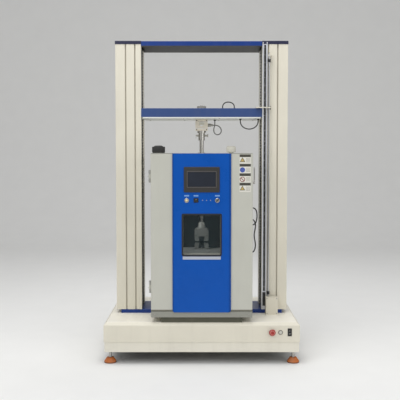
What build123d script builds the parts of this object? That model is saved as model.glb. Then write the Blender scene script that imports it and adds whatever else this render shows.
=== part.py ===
from build123d import *
import os
from math import pi, radians, tan

# Floor-standing universal testing machine with a thermal chamber between its two columns.
# Millimetres. +X is right as seen from the front, +Y is back, +Z is up.
# The origin is on the floor, midway between the columns, under the load axis.

os.makedirs("parts", exist_ok=True)

# Base
BASE_W = 1250.0
BASE_D = 880.0
FOOT_H = 80.0
PLINTH_H = 65.0
BASE_TOP = 270.0
BASE_BEVEL = 18.0
PLINTH_STEP = 4.0
SHEET = 2.0
FLANGE = 14.0
SILL_W = 70.0
SILL_H = 60.0
BEAM_W = 60.0
BEAM_Y = 120.0
RAIL_W = 40.0
TUBE_WALL = 5.0
FOOT_IN = 35.0
FOOT_BACK = 60.0
FOOT_X = BASE_W / 2 - FOOT_IN
FOOT_Y = BASE_D / 2 - FOOT_BACK
PAD_R = 38.0
STUD_R = 10.0

# Columns, worktable and top beam
TABLE_T = 25.0
TABLE_INSET = 31.0
COLUMN_IN = 404.0
COLUMN_W = 170.0
TABLE_W = 2 * (COLUMN_IN + COLUMN_W - TABLE_INSET)
COLUMN_D = 284.0
COLUMN_TOP = 2085.0
CAP_T = 7.0
PROFILE_D = 47.0
PROFILE_WALL = 4.0
SLOT_MOUTH = 9.0
SLOT_LIP = 4.0
SLOT_WIDE = 18.0
SLOT_DEEP = 9.0
SLOT_PITCH = 62.0
WAY_END = 45.0
BEAM_TOP = COLUMN_TOP + CAP_T
TOP_BEAM_T = 34.0
BEAM_SKIN = 10.0

# Drive
SCREW_IN = 48.0
SCREW_X = COLUMN_IN + SCREW_IN
SCREW_R = 16.0
JOURNAL_R = 12.5
DRIVE_Y = -25.0
POST_IN = 114.0
POST_X = COLUMN_IN + POST_IN
POST_R = 18.0
BEARING_R = 30.0
BEARING_H = 30.0
RUN_FIT = 0.05
FREE_GAP = 0.3
PULLEY_R = 45.0
MOTOR_PULLEY_R = 25.0
PULLEY_H = 24.0
PULLEY_Z = 206.0
BELT_T = 5.0
BELT_W = 20.0
MOTOR_Y = 50.0
MOTOR_SIZE = 100.0
MOTOR_H = 90.0
BRACKET_T = 8.0
SHAFT_R = 9.0

# Crosshead and load string
HEAD_LOW = 1582.0
HEAD_TOP = 1649.0
HEAD_PLATE = 8.0
HEAD_SKIN = 10.0
TONGUE_W = 120.0
TONGUE_SHORT = 21.0
TONGUE_END = COLUMN_IN + COLUMN_W - TONGUE_SHORT
BUSH_R = 29.0
NUT_R = 24.0
NUT_FLANGE_R = 32.0
CELL_W = 84.0
CELL_H = 78.0
COUPLING_R = 22.0
COUPLING_H = 66.0
ROD_R = 14.0
GRIP_BODY_W = 96.0
GRIP_BODY_D = 64.0
GRIP_BODY_H = 88.0
GRIP_NECK_H = 40.0
GRIP_GAP = 16.0
GRIP_MEET_Z = 738.0
JAW_TILT = 12.0
JAW_D = 40.0
JAW_TRAVEL = 8.0

# Thermal chamber
CH_W = 644.0
CH_LOW = 304.0
CH_TOP = 1347.0
CH_FRONT = -440.0
CH_BACK = 260.0
DOOR_T = 70.0
SEAL_T = 5.0
DOOR_LOW = 345.0
DOOR_TOP = 1343.0
LINER_LOW = 640.0
LINER_TOP = 1180.0
LINER_BACK = 100.0
LINER_T = 1.5
FOAM_T = 70.0
CASE_GAP = 16.0
LINER_W = CH_W - 2 * (FOAM_T + CASE_GAP)
JAMB_T = 3.0
DOOR_EDGE = 137.0
FASCIA_W = CH_W - 2 * DOOR_EDGE
FASCIA_T = 8.0
FASCIA_LOW = 338.0
FASCIA_TOP = 1344.0
WIN_W = 254.0
WIN_LOW = 698.0
WIN_TOP = 966.0
WIN_RIM = 9.0
GLASS_T = 6.0
PORT_R = 24.0


def save(name, *builders):
    """Labels a finished piece, or a set that shares one node, and writes its STEP file."""
    if len(builders) == 1:
        node = builders[0].part
    else:
        solids = [solid for builder in builders for solid in builder.part.solids()]
        node = Compound(children=solids)
    node.label = name
    export_step(node, f"parts/{name}.step")


def rect_between(x0, y0, x1, y1, mode=Mode.ADD):
    """A rectangle given by two opposite corners of the current sketch plane."""
    with Locations(((x0 + x1) / 2, (y0 + y1) / 2)):
        Rectangle(abs(x1 - x0), abs(y1 - y0), mode=mode)


def box_between(low, high, mode=Mode.ADD):
    """A box of the current part, given by two opposite corners."""
    with Locations(tuple((a + b) / 2 for a, b in zip(low, high))):
        Box(*[abs(b - a) for a, b in zip(low, high)], mode=mode)


def disc(x, y, low, high, radius, hole=0.0, mode=Mode.ADD):
    """An upright round piece of the current part from one height to another, with a bore if given."""
    with BuildSketch(Plane.XY.offset(low)) as outline:
        with Locations((x, y)):
            Circle(radius)
            if hole:
                Circle(hole, mode=Mode.SUBTRACT)
    extrude(outline.sketch, amount=high - low, mode=mode)


def front_disc(x, z, front, back, radius, hole=0.0, mode=Mode.ADD):
    """A round piece whose axis runs from front to back, with a bore if given."""
    with BuildSketch(front_plane(back)) as outline:
        with Locations((x, z)):
            Circle(radius)
            if hole:
                Circle(hole, mode=Mode.SUBTRACT)
    extrude(outline.sketch, amount=back - front, mode=mode)


def front_plane(y):
    """A vertical sketch plane facing the front, with local X right and local Y up."""
    return Plane(origin=(0, y, 0), x_dir=(1, 0, 0), z_dir=(0, -1, 0))


SIDES = {"left": -1.0, "right": 1.0}
PLINTH_TOP = FOOT_H + PLINTH_H
TABLE_TOP = BASE_TOP + TABLE_T
COLUMN_OUT = COLUMN_IN + COLUMN_W
COLUMN_F = -COLUMN_D / 2
COLUMN_B = COLUMN_D / 2
PROFILE_BACK = COLUMN_F + PROFILE_D
BEAM_LOW = BEAM_TOP - TOP_BEAM_T
FRAME_TOP = BASE_TOP - SHEET

# Base frame: two sills on the feet, two deep beams under the worktable, two low rails, all tube.
sill_x = BASE_W / 2 - 2 * PLINTH_STEP - SILL_W / 2
sill_len = BASE_D - 4 * PLINTH_STEP
rail_y = sill_len / 2 - RAIL_W / 2
beam_low = FOOT_H + SILL_H
with BuildPart() as base_frame:
    with BuildSketch(Plane.XY.offset(FOOT_H)):
        with Locations((-sill_x, 0), (sill_x, 0)):
            Rectangle(SILL_W, sill_len)
        with Locations((0, -rail_y), (0, rail_y)):
            Rectangle(2 * sill_x, RAIL_W)
    extrude(amount=SILL_H)
    with BuildSketch(Plane.XY.offset(beam_low)):
        with Locations((0, -BEAM_Y), (0, BEAM_Y)):
            Rectangle(BASE_W - 2 * (BASE_BEVEL + FLANGE), BEAM_W)
    extrude(amount=FRAME_TOP - beam_low)
    # The tubes are hollow and open at their ends.
    with BuildSketch(Plane.XZ):
        with Locations((-sill_x, FOOT_H + SILL_H / 2), (sill_x, FOOT_H + SILL_H / 2)):
            Rectangle(SILL_W - 2 * TUBE_WALL, SILL_H - 2 * TUBE_WALL)
    extrude(amount=sill_len, both=True, mode=Mode.SUBTRACT)
    with BuildSketch(Plane.YZ):
        with Locations((-BEAM_Y, (beam_low + FRAME_TOP) / 2), (BEAM_Y, (beam_low + FRAME_TOP) / 2)):
            Rectangle(BEAM_W - 2 * TUBE_WALL, FRAME_TOP - beam_low - 2 * TUBE_WALL)
    extrude(amount=BASE_W, both=True, mode=Mode.SUBTRACT)
    with BuildSketch(Plane.YZ):
        with Locations((-rail_y, FOOT_H + SILL_H / 2), (rail_y, FOOT_H + SILL_H / 2)):
            Rectangle(RAIL_W - 2 * TUBE_WALL, SILL_H - 2 * TUBE_WALL)
    extrude(amount=sill_x - SILL_W / 2, both=True, mode=Mode.SUBTRACT)
    with Locations(*[(sx * FOOT_X, sy * FOOT_Y, FOOT_H + TUBE_WALL) for sx in (-1, 1) for sy in (-1, 1)]):
        Hole(STUD_R + RUN_FIT, depth=TUBE_WALL * 2)
save("base_frame", base_frame)

# Sheet cover over the base, with bevelled top edges and an inward flange along its lower edge.
cover_h = BASE_TOP - PLINTH_TOP
MAINS_IN = 65.0
BUTTON_GAP = 53.0
MAINS_GAP = 59.0
MAINS_X = BASE_W / 2 - MAINS_IN
RUN_X = MAINS_X - MAINS_GAP
ESTOP_X = RUN_X - BUTTON_GAP
CONTROL_Z = 209.0
ESTOP_HOLE_R = 11.3
RUN_HOLE_R = 11.3
MAINS_W = 21.0
MAINS_H = 43.0
VENT_ROWS = 7
VENT_PITCH = 12.0
VENT_LEN = 120.0
VENT_W = 5.0
with BuildPart() as base_cover:
    with BuildSketch(Plane.XY.offset(PLINTH_TOP)):
        Rectangle(BASE_W, BASE_D)
    extrude(amount=cover_h)
    chamfer(base_cover.faces().sort_by(Axis.Z)[-1].edges(), BASE_BEVEL)
    offset(amount=-SHEET, openings=base_cover.faces().sort_by(Axis.Z)[0])
    with BuildSketch(Plane.XY.offset(PLINTH_TOP)):
        Rectangle(BASE_W, BASE_D)
        Rectangle(BASE_W - 2 * (SHEET + FLANGE), BASE_D - 2 * (SHEET + FLANGE), mode=Mode.SUBTRACT)
    extrude(amount=SHEET)
    # Openings above the drive for the screws and the posts.
    with BuildSketch(Plane.XY.offset(BASE_TOP - SHEET)):
        with Locations((-SCREW_X, DRIVE_Y), (SCREW_X, DRIVE_Y)):
            Circle(BEARING_R)
        Circle(BEARING_R)
    extrude(amount=SHEET, mode=Mode.SUBTRACT)
    # Control openings in the front wall.
    with BuildSketch(front_plane(-BASE_D / 2 + SHEET)):
        with Locations((ESTOP_X, CONTROL_Z)):
            Circle(ESTOP_HOLE_R)
        with Locations((RUN_X, CONTROL_Z)):
            Circle(RUN_HOLE_R)
        with Locations((MAINS_X, CONTROL_Z)):
            Rectangle(MAINS_W, MAINS_H)
    extrude(amount=SHEET, mode=Mode.SUBTRACT)
    # Cooling slots in the rear wall.
    with BuildSketch(front_plane(BASE_D / 2)):
        with Locations((-SCREW_X + VENT_LEN, CONTROL_Z), (SCREW_X - VENT_LEN, CONTROL_Z)):
            with GridLocations(0, VENT_PITCH, 1, VENT_ROWS):
                SlotOverall(VENT_LEN, VENT_W)
    extrude(amount=SHEET, mode=Mode.SUBTRACT)

# Recessed plinth band below the cover.
with BuildPart() as base_plinth:
    with BuildSketch(Plane.XY.offset(FOOT_H)):
        Rectangle(BASE_W - 2 * PLINTH_STEP, BASE_D - 2 * PLINTH_STEP)
        Rectangle(BASE_W - 4 * PLINTH_STEP, BASE_D - 4 * PLINTH_STEP, mode=Mode.SUBTRACT)
    extrude(amount=PLINTH_H)

# Levelling feet: moulded pads, threaded studs and locknuts under the sills.
PAD_H = 34.0
PAD_TOP_R = 22.0
PAD_BASE_H = 12.0
NUT_H = 12.0
NUT_AF = 30.0
feet = [(sx * FOOT_X, sy * FOOT_Y) for sx in (-1, 1) for sy in (-1, 1)]
with BuildPart() as foot_pads:
    for fx, fy in feet:
        with BuildSketch(Plane(origin=(fx, fy, 0), x_dir=(1, 0, 0), z_dir=(0, -1, 0))):
            with BuildLine():
                Polyline((0, 0), (PAD_R, 0), (PAD_R, PAD_BASE_H))
                Line((PAD_R, PAD_BASE_H), (PAD_TOP_R, PAD_H))
                Polyline((PAD_TOP_R, PAD_H), (0, PAD_H), (0, 0))
            make_face()
        revolve(axis=Axis((fx, fy, 0), (0, 0, 1)))
save("foot_pads", foot_pads)

with BuildPart() as foot_studs:
    with BuildSketch(Plane.XY.offset(PAD_H)):
        with Locations(*feet):
            Circle(STUD_R)
    extrude(amount=FOOT_H + SILL_H - 2 * TUBE_WALL - PAD_H)

with BuildPart() as foot_locknuts:
    with BuildSketch(Plane.XY.offset(FOOT_H - NUT_H)):
        with Locations(*feet):
            RegularPolygon(NUT_AF / 2, 6, major_radius=False)
            Circle(STUD_R + RUN_FIT, mode=Mode.SUBTRACT)
    extrude(amount=NUT_H)
save("foot_studs", foot_studs, foot_locknuts)

# Blue worktable plate with seats for the screw bearings and a threaded centre hole.
CENTRE_HOLE_R = 12.0
with BuildPart() as worktable:
    with BuildSketch(Plane.XY.offset(BASE_TOP)):
        Rectangle(TABLE_W, COLUMN_D)
        with Locations((-SCREW_X, DRIVE_Y), (SCREW_X, DRIVE_Y)):
            Circle(JOURNAL_R + 1.0, mode=Mode.SUBTRACT)
        Circle(CENTRE_HOLE_R, mode=Mode.SUBTRACT)
    extrude(amount=TABLE_T)
    chamfer(worktable.faces().sort_by(Axis.Z)[-1].outer_wire().edges(), 2.0)
save("worktable", worktable)


# Columns: a hollow front extrusion with two T-slots, and a folded sheet cover round the rest.
# The cover leaves the inner face open behind the extrusion, where the crosshead comes in.
COVER_RETURN = 16.0
SLOT_IN = 71.0
slot_middle = COLUMN_IN + SLOT_IN
rib_y = COLUMN_F + SLOT_LIP + SLOT_DEEP + PROFILE_WALL
profiles, covers, caps = [], [], []
for sign in SIDES.values():
    with BuildPart() as column_profile:
        with BuildSketch(Plane.XY.offset(TABLE_TOP)):
            rect_between(sign * COLUMN_IN, COLUMN_F, sign * COLUMN_OUT, PROFILE_BACK)
            rect_between(
                sign * (COLUMN_IN + PROFILE_WALL), rib_y,
                sign * (COLUMN_OUT - PROFILE_WALL), PROFILE_BACK - PROFILE_WALL,
                mode=Mode.SUBTRACT,
            )
            for shift in (-SLOT_PITCH / 2, SLOT_PITCH / 2):
                slot_x = sign * (slot_middle + shift)
                with Locations((slot_x, COLUMN_F + SLOT_LIP / 2)):
                    Rectangle(SLOT_MOUTH, SLOT_LIP, mode=Mode.SUBTRACT)
                with Locations((slot_x, COLUMN_F + SLOT_LIP + SLOT_DEEP / 2)):
                    Rectangle(SLOT_WIDE, SLOT_DEEP, mode=Mode.SUBTRACT)
        extrude(amount=COLUMN_TOP - TABLE_TOP)
    profiles.append(column_profile)

    with BuildPart() as column_cover:
        with BuildSketch(Plane.XY.offset(TABLE_TOP)):
            rect_between(sign * COLUMN_IN, PROFILE_BACK, sign * COLUMN_OUT, COLUMN_B)
            rect_between(
                sign * (COLUMN_IN + SHEET), PROFILE_BACK,
                sign * (COLUMN_OUT - SHEET), COLUMN_B - SHEET,
                mode=Mode.SUBTRACT,
            )
            # The open way, with a return bent inwards at its rear edge.
            rect_between(
                sign * COLUMN_IN, PROFILE_BACK, sign * (COLUMN_IN + SHEET), WAY_END,
                mode=Mode.SUBTRACT,
            )
            rect_between(
                sign * COLUMN_IN, WAY_END, sign * (COLUMN_IN + COVER_RETURN), WAY_END + SHEET
            )
        extrude(amount=COLUMN_TOP - TABLE_TOP)
    covers.append(column_cover)

    with BuildPart() as column_cap:
        with BuildSketch(Plane.XY.offset(COLUMN_TOP)):
            with Locations((sign * (COLUMN_IN + COLUMN_W / 2), 0)):
                RectangleRounded(COLUMN_W, COLUMN_D, 3.0)
        extrude(amount=CAP_T)
    caps.append(column_cap)
save("column_profiles", *profiles)
save("column_covers", *covers)
save("column_caps", *caps)

# Top beam: a plate with a lightening pocket underneath, whose ends go into the columns.
END_CLEAR = 0.5
beam_end = COLUMN_OUT - SHEET - 12.0
under_z = BEAM_LOW + 4.0
with BuildPart() as top_beam:
    box_between((-COLUMN_IN + END_CLEAR, COLUMN_F, under_z), (COLUMN_IN - END_CLEAR, COLUMN_B, BEAM_TOP))
    box_between(
        (-beam_end, PROFILE_BACK + END_CLEAR, BEAM_LOW),
        (beam_end, WAY_END - END_CLEAR, COLUMN_TOP - END_CLEAR),
    )
    box_between(
        (-COLUMN_IN + END_CLEAR + BEAM_SKIN, COLUMN_F + BEAM_SKIN, BEAM_LOW),
        (COLUMN_IN - END_CLEAR - BEAM_SKIN, COLUMN_B - BEAM_SKIN, BEAM_TOP - BEAM_SKIN),
        mode=Mode.SUBTRACT,
    )
    front_edges = top_beam.edges().filter_by(Axis.X).group_by(Axis.Z)[-1]
    fillet(front_edges, 3.0)
    with Locations(*[(s * SCREW_X, DRIVE_Y, BEAM_LOW) for s in SIDES.values()]):
        Hole(JOURNAL_R + 1.0, depth=2 * TOP_BEAM_T)

# Dark closing plate under the top beam.
with BuildPart() as top_beam_underside:
    box_between((-COLUMN_IN + END_CLEAR, COLUMN_F, BEAM_LOW), (COLUMN_IN - END_CLEAR, COLUMN_B, under_z))
save("top_beam", top_beam, top_beam_underside)

# Guide posts, standing on the worktable and held by the top beam.
with BuildPart() as guide_posts:
    for sign in SIDES.values():
        disc(sign * POST_X, DRIVE_Y, TABLE_TOP, BEAM_LOW, POST_R)
save("guide_posts", guide_posts)

# Screw bearings: flanged housings on the worktable and under the top beam.
upper_bearing_z = BEAM_LOW - BEARING_H
with BuildPart() as lower_bearings:
    for sign in SIDES.values():
        disc(sign * SCREW_X, DRIVE_Y, TABLE_TOP, TABLE_TOP + BEARING_H, BEARING_R, JOURNAL_R + RUN_FIT)
with BuildPart() as upper_bearings:
    for sign in SIDES.values():
        disc(sign * SCREW_X, DRIVE_Y, upper_bearing_z, BEAM_LOW, BEARING_R, JOURNAL_R + RUN_FIT)
save("screw_bearings", lower_bearings, upper_bearings)

# Ball screws: ground shafts with turned-down journals in their bearings. Each has its belt pulley.
journal_low = PULLEY_Z - 6.0
thread_low = TABLE_TOP + BEARING_H + FREE_GAP
thread_top = upper_bearing_z - FREE_GAP
journal_top = BEAM_LOW + TOP_BEAM_T / 2
TEETH = 30
TOOTH_R = 2.2
for side, sign in SIDES.items():
    with BuildPart() as ball_screw:
        disc(sign * SCREW_X, DRIVE_Y, journal_low, journal_top, JOURNAL_R)
        disc(sign * SCREW_X, DRIVE_Y, thread_low, thread_top, SCREW_R)

    with BuildPart() as screw_pulley:
        with BuildSketch(Plane.XY.offset(PULLEY_Z)):
            with Locations((sign * SCREW_X, DRIVE_Y)):
                Circle(PULLEY_R)
                Circle(JOURNAL_R, mode=Mode.SUBTRACT)
                with PolarLocations(PULLEY_R, TEETH):
                    Circle(TOOTH_R, mode=Mode.SUBTRACT)
        extrude(amount=PULLEY_H)
    save(f"ball_screw_{side}", ball_screw, screw_pulley)

# Servo motor under its bracket, with its pulley above it.
bracket_z = PULLEY_Z - 2.0 - BRACKET_T
with BuildPart() as motor_bracket:
    box_between(
        (-MOTOR_SIZE, -BEAM_Y + BEAM_W / 2, bracket_z),
        (MOTOR_SIZE, BEAM_Y - BEAM_W / 2, bracket_z + BRACKET_T),
    )
    disc(0, MOTOR_Y, bracket_z, bracket_z + BRACKET_T, SHAFT_R + 6.0, mode=Mode.SUBTRACT)

with BuildPart() as servo_motor:
    with BuildSketch(Plane.XY.offset(bracket_z - MOTOR_H)):
        with Locations((0, MOTOR_Y - 15.0)):
            RectangleRounded(MOTOR_SIZE, MOTOR_SIZE, 8.0)
            Rectangle(MOTOR_SIZE - 30.0, MOTOR_SIZE + 6.0)
        with Locations((0, MOTOR_Y)):
            Circle(SHAFT_R + RUN_FIT, mode=Mode.SUBTRACT)
    extrude(amount=MOTOR_H)
save("servo_motor", servo_motor, motor_bracket)

with BuildPart() as motor_shaft:
    disc(0, MOTOR_Y, bracket_z - MOTOR_H + 8.0, PULLEY_Z + PULLEY_H, SHAFT_R)
motor_teeth = 17
with BuildPart() as motor_pulley:
    with BuildSketch(Plane.XY.offset(PULLEY_Z)):
        with Locations((0, MOTOR_Y)):
            Circle(MOTOR_PULLEY_R)
            Circle(SHAFT_R, mode=Mode.SUBTRACT)
            with PolarLocations(MOTOR_PULLEY_R, motor_teeth):
                Circle(TOOTH_R, mode=Mode.SUBTRACT)
    extrude(amount=PULLEY_H)
save("motor_pulley", motor_pulley, motor_shaft)

# Toothed belt round both screw pulleys and the motor pulley.
with BuildPart() as drive_belt:
    with BuildSketch(Plane.XY.offset(PULLEY_Z + (PULLEY_H - BELT_W) / 2)):
        for grow, mode in ((FREE_GAP + BELT_T, Mode.ADD), (FREE_GAP, Mode.SUBTRACT)):
            with BuildSketch(Plane.XY, mode=Mode.PRIVATE) as loop:
                with Locations((-SCREW_X, DRIVE_Y), (SCREW_X, DRIVE_Y)):
                    Circle(PULLEY_R + grow)
                with Locations((0, MOTOR_Y)):
                    Circle(MOTOR_PULLEY_R + grow)
                make_hull()
            add(loop.sketch, mode=mode)
    extrude(amount=BELT_W)
save("drive_belt", drive_belt)

# Drive controller box on the front of the base beam.
CONTROLLER_W = 260.0
CONTROLLER_D = 170.0
CONTROLLER_X = -300.0
CONTROLLER_SKIN = 2.0
with BuildPart() as drive_controller:
    box_between(
        (CONTROLLER_X - CONTROLLER_W / 2, -BEAM_Y - BEAM_W / 2 - CONTROLLER_D, beam_low + 12.0),
        (CONTROLLER_X + CONTROLLER_W / 2, -BEAM_Y - BEAM_W / 2, FRAME_TOP - 16.0),
    )
    fillet(drive_controller.edges().filter_by(Axis.Z), 4.0)
    offset(amount=-CONTROLLER_SKIN, openings=drive_controller.faces().sort_by(Axis.Z)[0])
save("drive_controller", drive_controller)

# Crosshead: a box beam with an open underside, and a tongue into each column for screw and post.
head_under = HEAD_LOW + HEAD_PLATE
BOSS_R = 30.0
STUD_HOLE_R = 10.0
tongue_f = DRIVE_Y - TONGUE_W / 2
tongue_b = DRIVE_Y + TONGUE_W / 2
with BuildPart() as crosshead:
    box_between((-COLUMN_IN + END_CLEAR, COLUMN_F, head_under), (COLUMN_IN - END_CLEAR, COLUMN_B, HEAD_TOP))
    fillet(crosshead.edges().filter_by(Axis.X).group_by(Axis.Z)[-1], 3.0)
    box_between(
        (-COLUMN_IN + END_CLEAR + HEAD_SKIN, COLUMN_F + HEAD_SKIN, head_under),
        (COLUMN_IN - END_CLEAR - HEAD_SKIN, COLUMN_B - HEAD_SKIN, HEAD_TOP - HEAD_SKIN),
        mode=Mode.SUBTRACT,
    )
    for sign in SIDES.values():
        box_between(
            (sign * (COLUMN_IN - END_CLEAR - HEAD_SKIN), tongue_f, HEAD_LOW),
            (sign * TONGUE_END, tongue_b, HEAD_TOP),
        )
        disc(sign * SCREW_X, DRIVE_Y, HEAD_LOW, HEAD_TOP, NUT_R + RUN_FIT, mode=Mode.SUBTRACT)
        disc(sign * POST_X, DRIVE_Y, HEAD_LOW, HEAD_TOP, BUSH_R + RUN_FIT, mode=Mode.SUBTRACT)
    disc(0, 0, head_under, HEAD_TOP - HEAD_SKIN, BOSS_R)
    disc(0, 0, head_under, HEAD_TOP, STUD_HOLE_R + RUN_FIT, mode=Mode.SUBTRACT)

with BuildPart() as crosshead_plate:
    box_between(
        (-COLUMN_IN + END_CLEAR + HEAD_SKIN, COLUMN_F, HEAD_LOW),
        (COLUMN_IN - END_CLEAR - HEAD_SKIN, COLUMN_B, head_under),
    )
    disc(0, 0, HEAD_LOW, head_under, STUD_HOLE_R + RUN_FIT, mode=Mode.SUBTRACT)

NUT_FLANGE_H = 12.0
NUT_STAND = 6.0
with BuildPart() as ball_nuts:
    for sign in SIDES.values():
        disc(sign * SCREW_X, DRIVE_Y, HEAD_LOW, HEAD_TOP + NUT_STAND, NUT_R, SCREW_R + RUN_FIT)
        disc(sign * SCREW_X, DRIVE_Y, HEAD_LOW - NUT_FLANGE_H, HEAD_LOW, NUT_FLANGE_R, SCREW_R + RUN_FIT)

BUSH_STAND = 10.0
with BuildPart() as post_bushings:
    for sign in SIDES.values():
        disc(sign * POST_X, DRIVE_Y, HEAD_LOW - BUSH_STAND, HEAD_TOP + BUSH_STAND, BUSH_R, POST_R + RUN_FIT)
save("crosshead_bearings", ball_nuts, post_bushings)

# Holding stud of the load cell, with its washer and hexagon nut on top of the crosshead.
WASHER_R = 34.0
WASHER_H = 5.0
HOLD_NUT_AF = 54.0
HOLD_NUT_H = 18.0
STUD_IN_CELL = 16.0
hold_top = HEAD_TOP + WASHER_H + HOLD_NUT_H
with BuildPart() as holding_stud:
    disc(0, 0, HEAD_LOW - STUD_IN_CELL, hold_top + 6.0, STUD_HOLE_R)
with BuildPart() as holding_nut:
    disc(0, 0, HEAD_TOP, HEAD_TOP + WASHER_H, WASHER_R, STUD_HOLE_R + RUN_FIT)
    with BuildSketch(Plane.XY.offset(HEAD_TOP + WASHER_H)):
        RegularPolygon(HOLD_NUT_AF / 2, 6, major_radius=False)
        Circle(STUD_HOLE_R + RUN_FIT, mode=Mode.SUBTRACT)
    extrude(amount=HOLD_NUT_H)
save("holding_nut", holding_nut, holding_stud)

# S-type load cell: a block cut by two opposed slots that end in round gauge holes.
CELL_D = 50.0
CELL_SLOT = 5.0
CELL_ARM = 20.0
CELL_WEB = 24.0
GAUGE_R = 9.0
cell_low = HEAD_LOW - CELL_H
slot_low_z = cell_low + CELL_ARM
slot_top_z = HEAD_LOW - CELL_ARM
with BuildPart() as load_cell:
    with BuildSketch(front_plane(0)):
        rect_between(-CELL_W / 2, cell_low, CELL_W / 2, HEAD_LOW)
        rect_between(-CELL_W / 2, slot_low_z - CELL_SLOT, CELL_WEB, slot_low_z, mode=Mode.SUBTRACT)
        rect_between(-CELL_WEB, slot_top_z, CELL_W / 2, slot_top_z + CELL_SLOT, mode=Mode.SUBTRACT)
        with Locations((0, (cell_low + HEAD_LOW) / 2)):
            Circle(GAUGE_R, mode=Mode.SUBTRACT)
    extrude(amount=CELL_D / 2, both=True)
    fillet(load_cell.edges().filter_by(Axis.Z).group_by(Axis.X)[0], 2.0)
    disc(0, 0, HEAD_LOW - STUD_IN_CELL, HEAD_LOW, STUD_HOLE_R + RUN_FIT, mode=Mode.SUBTRACT)

CONNECTOR_R = 11.0
CONNECTOR_L = 34.0
connector_z = (cell_low + HEAD_LOW) / 2
connector_end = CELL_W / 2 + CONNECTOR_L
with BuildPart() as cell_connector:
    with BuildSketch(Plane.YZ.offset(CELL_W / 2)):
        with Locations((0, connector_z)):
            Circle(CONNECTOR_R)
    extrude(amount=CONNECTOR_L * 0.6)
    with BuildSketch(Plane.YZ.offset(CELL_W / 2 + CONNECTOR_L * 0.6)):
        with Locations((0, connector_z)):
            Circle(CONNECTOR_R - 3.0)
    extrude(amount=CONNECTOR_L * 0.4)
save("load_cell", load_cell, cell_connector)

# Pin coupling under the load cell, with a knurled locking ring and a cross pin.
coupling_low = cell_low - COUPLING_H
PIN_R = 6.0
PIN_L = 80.0
pin_z = coupling_low + COUPLING_H / 2
RING_R = 30.0
RING_H = 14.0
SOCKET_H = 48.0
with BuildPart() as pin_coupling:
    disc(0, 0, coupling_low, cell_low, COUPLING_R)
    disc(0, 0, coupling_low, coupling_low + SOCKET_H, ROD_R + RUN_FIT, mode=Mode.SUBTRACT)
    with BuildSketch(Plane.YZ):
        with Locations((0, pin_z)):
            Circle(PIN_R + RUN_FIT)
    extrude(amount=COUPLING_R, both=True, mode=Mode.SUBTRACT)
with BuildPart() as cross_pin:
    with BuildSketch(Plane.YZ):
        with Locations((0, pin_z)):
            Circle(PIN_R)
    extrude(amount=PIN_L / 2, both=True)
    with BuildSketch(Plane.YZ.offset(PIN_L / 2)):
        with Locations((0, pin_z)):
            Circle(PIN_R + 5.0)
    extrude(amount=5.0)
with BuildPart() as locking_ring:
    disc(0, 0, cell_low - RING_H, cell_low - 1.0, RING_R, COUPLING_R + RUN_FIT)
    with PolarLocations(RING_R, 12):
        with Locations((0, 0, cell_low - RING_H)):
            Cylinder(1.6, 3 * RING_H, mode=Mode.SUBTRACT)
save("pin_coupling", pin_coupling, cross_pin, locking_ring)

# Wedge grips: a body with a tapered pocket, and two jaws that slide along the pocket's walls.
# The lower grip is the upper one turned over about the plane where they meet.
GRIP_CORNER = 14.0
JAW_H = 58.0
JAW_T = 13.0
JAW_GAP = 6.0
JAW_INSET = 3.0
JAW_TEETH = 20
TOOTH_DEEP = 1.0
POCKET_ROOM = 4.0
slope = tan(radians(JAW_TILT))
grip_mouth = GRIP_GAP / 2
jaw_foot = JAW_GAP / 2 + JAW_T
pocket_h = JAW_INSET + JAW_H + JAW_TRAVEL + POCKET_ROOM
mouth_half = jaw_foot + RUN_FIT - JAW_INSET * slope
pocket_half = mouth_half + pocket_h * slope
grip_top = grip_mouth + GRIP_BODY_H
neck_top = grip_top + GRIP_NECK_H
ROD_SEAT = 26.0
COLUMN_ROD_R = 20.0
COLUMN_SEAT = 10.0


def grip_plane(up):
    """The plane of a grip's profile, with local Y away from the gap between the two grips."""
    return Plane(origin=(0, 0, GRIP_MEET_Z), x_dir=(1, 0, 0), z_dir=(0, -up, 0))


def pocket_profile():
    """The tapered pocket, open at the mouth."""
    with BuildLine() as sides:
        Polyline(
            (-mouth_half, grip_mouth), (mouth_half, grip_mouth),
            (pocket_half, grip_mouth + pocket_h), (-pocket_half, grip_mouth + pocket_h),
            close=True,
        )
    make_face(sides.line, mode=Mode.SUBTRACT)


with BuildPart() as upper_grip:
    with BuildSketch(grip_plane(1)):
        with BuildLine():
            half = GRIP_BODY_W / 2
            Polyline(
                (-half + 6.0, grip_mouth), (half - 6.0, grip_mouth), (half, grip_mouth + 10.0),
                (half, grip_top - GRIP_CORNER), (half - GRIP_CORNER, grip_top),
                (-half + GRIP_CORNER, grip_top), (-half, grip_top - GRIP_CORNER),
                (-half, grip_mouth + 10.0), close=True,
            )
        make_face()
        pocket_profile()
    extrude(amount=GRIP_BODY_D / 2, both=True)
    with BuildSketch(Plane.XY.offset(GRIP_MEET_Z + grip_top)):
        Circle(30.0)
    with BuildSketch(Plane.XY.offset(GRIP_MEET_Z + neck_top)):
        Circle(ROD_R + 5.0)
    loft()
    disc(0, 0, GRIP_MEET_Z + neck_top - ROD_SEAT, GRIP_MEET_Z + neck_top, ROD_R + RUN_FIT, mode=Mode.SUBTRACT)
save("upper_grip", upper_grip)

with BuildPart() as pull_rod:
    disc(0, 0, GRIP_MEET_Z + neck_top - ROD_SEAT, coupling_low + SOCKET_H, ROD_R)
    with BuildSketch(Plane.YZ):
        with Locations((0, pin_z)):
            Circle(PIN_R + RUN_FIT)
    extrude(amount=ROD_R, both=True, mode=Mode.SUBTRACT)
save("pull_rod", pull_rod)

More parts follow.
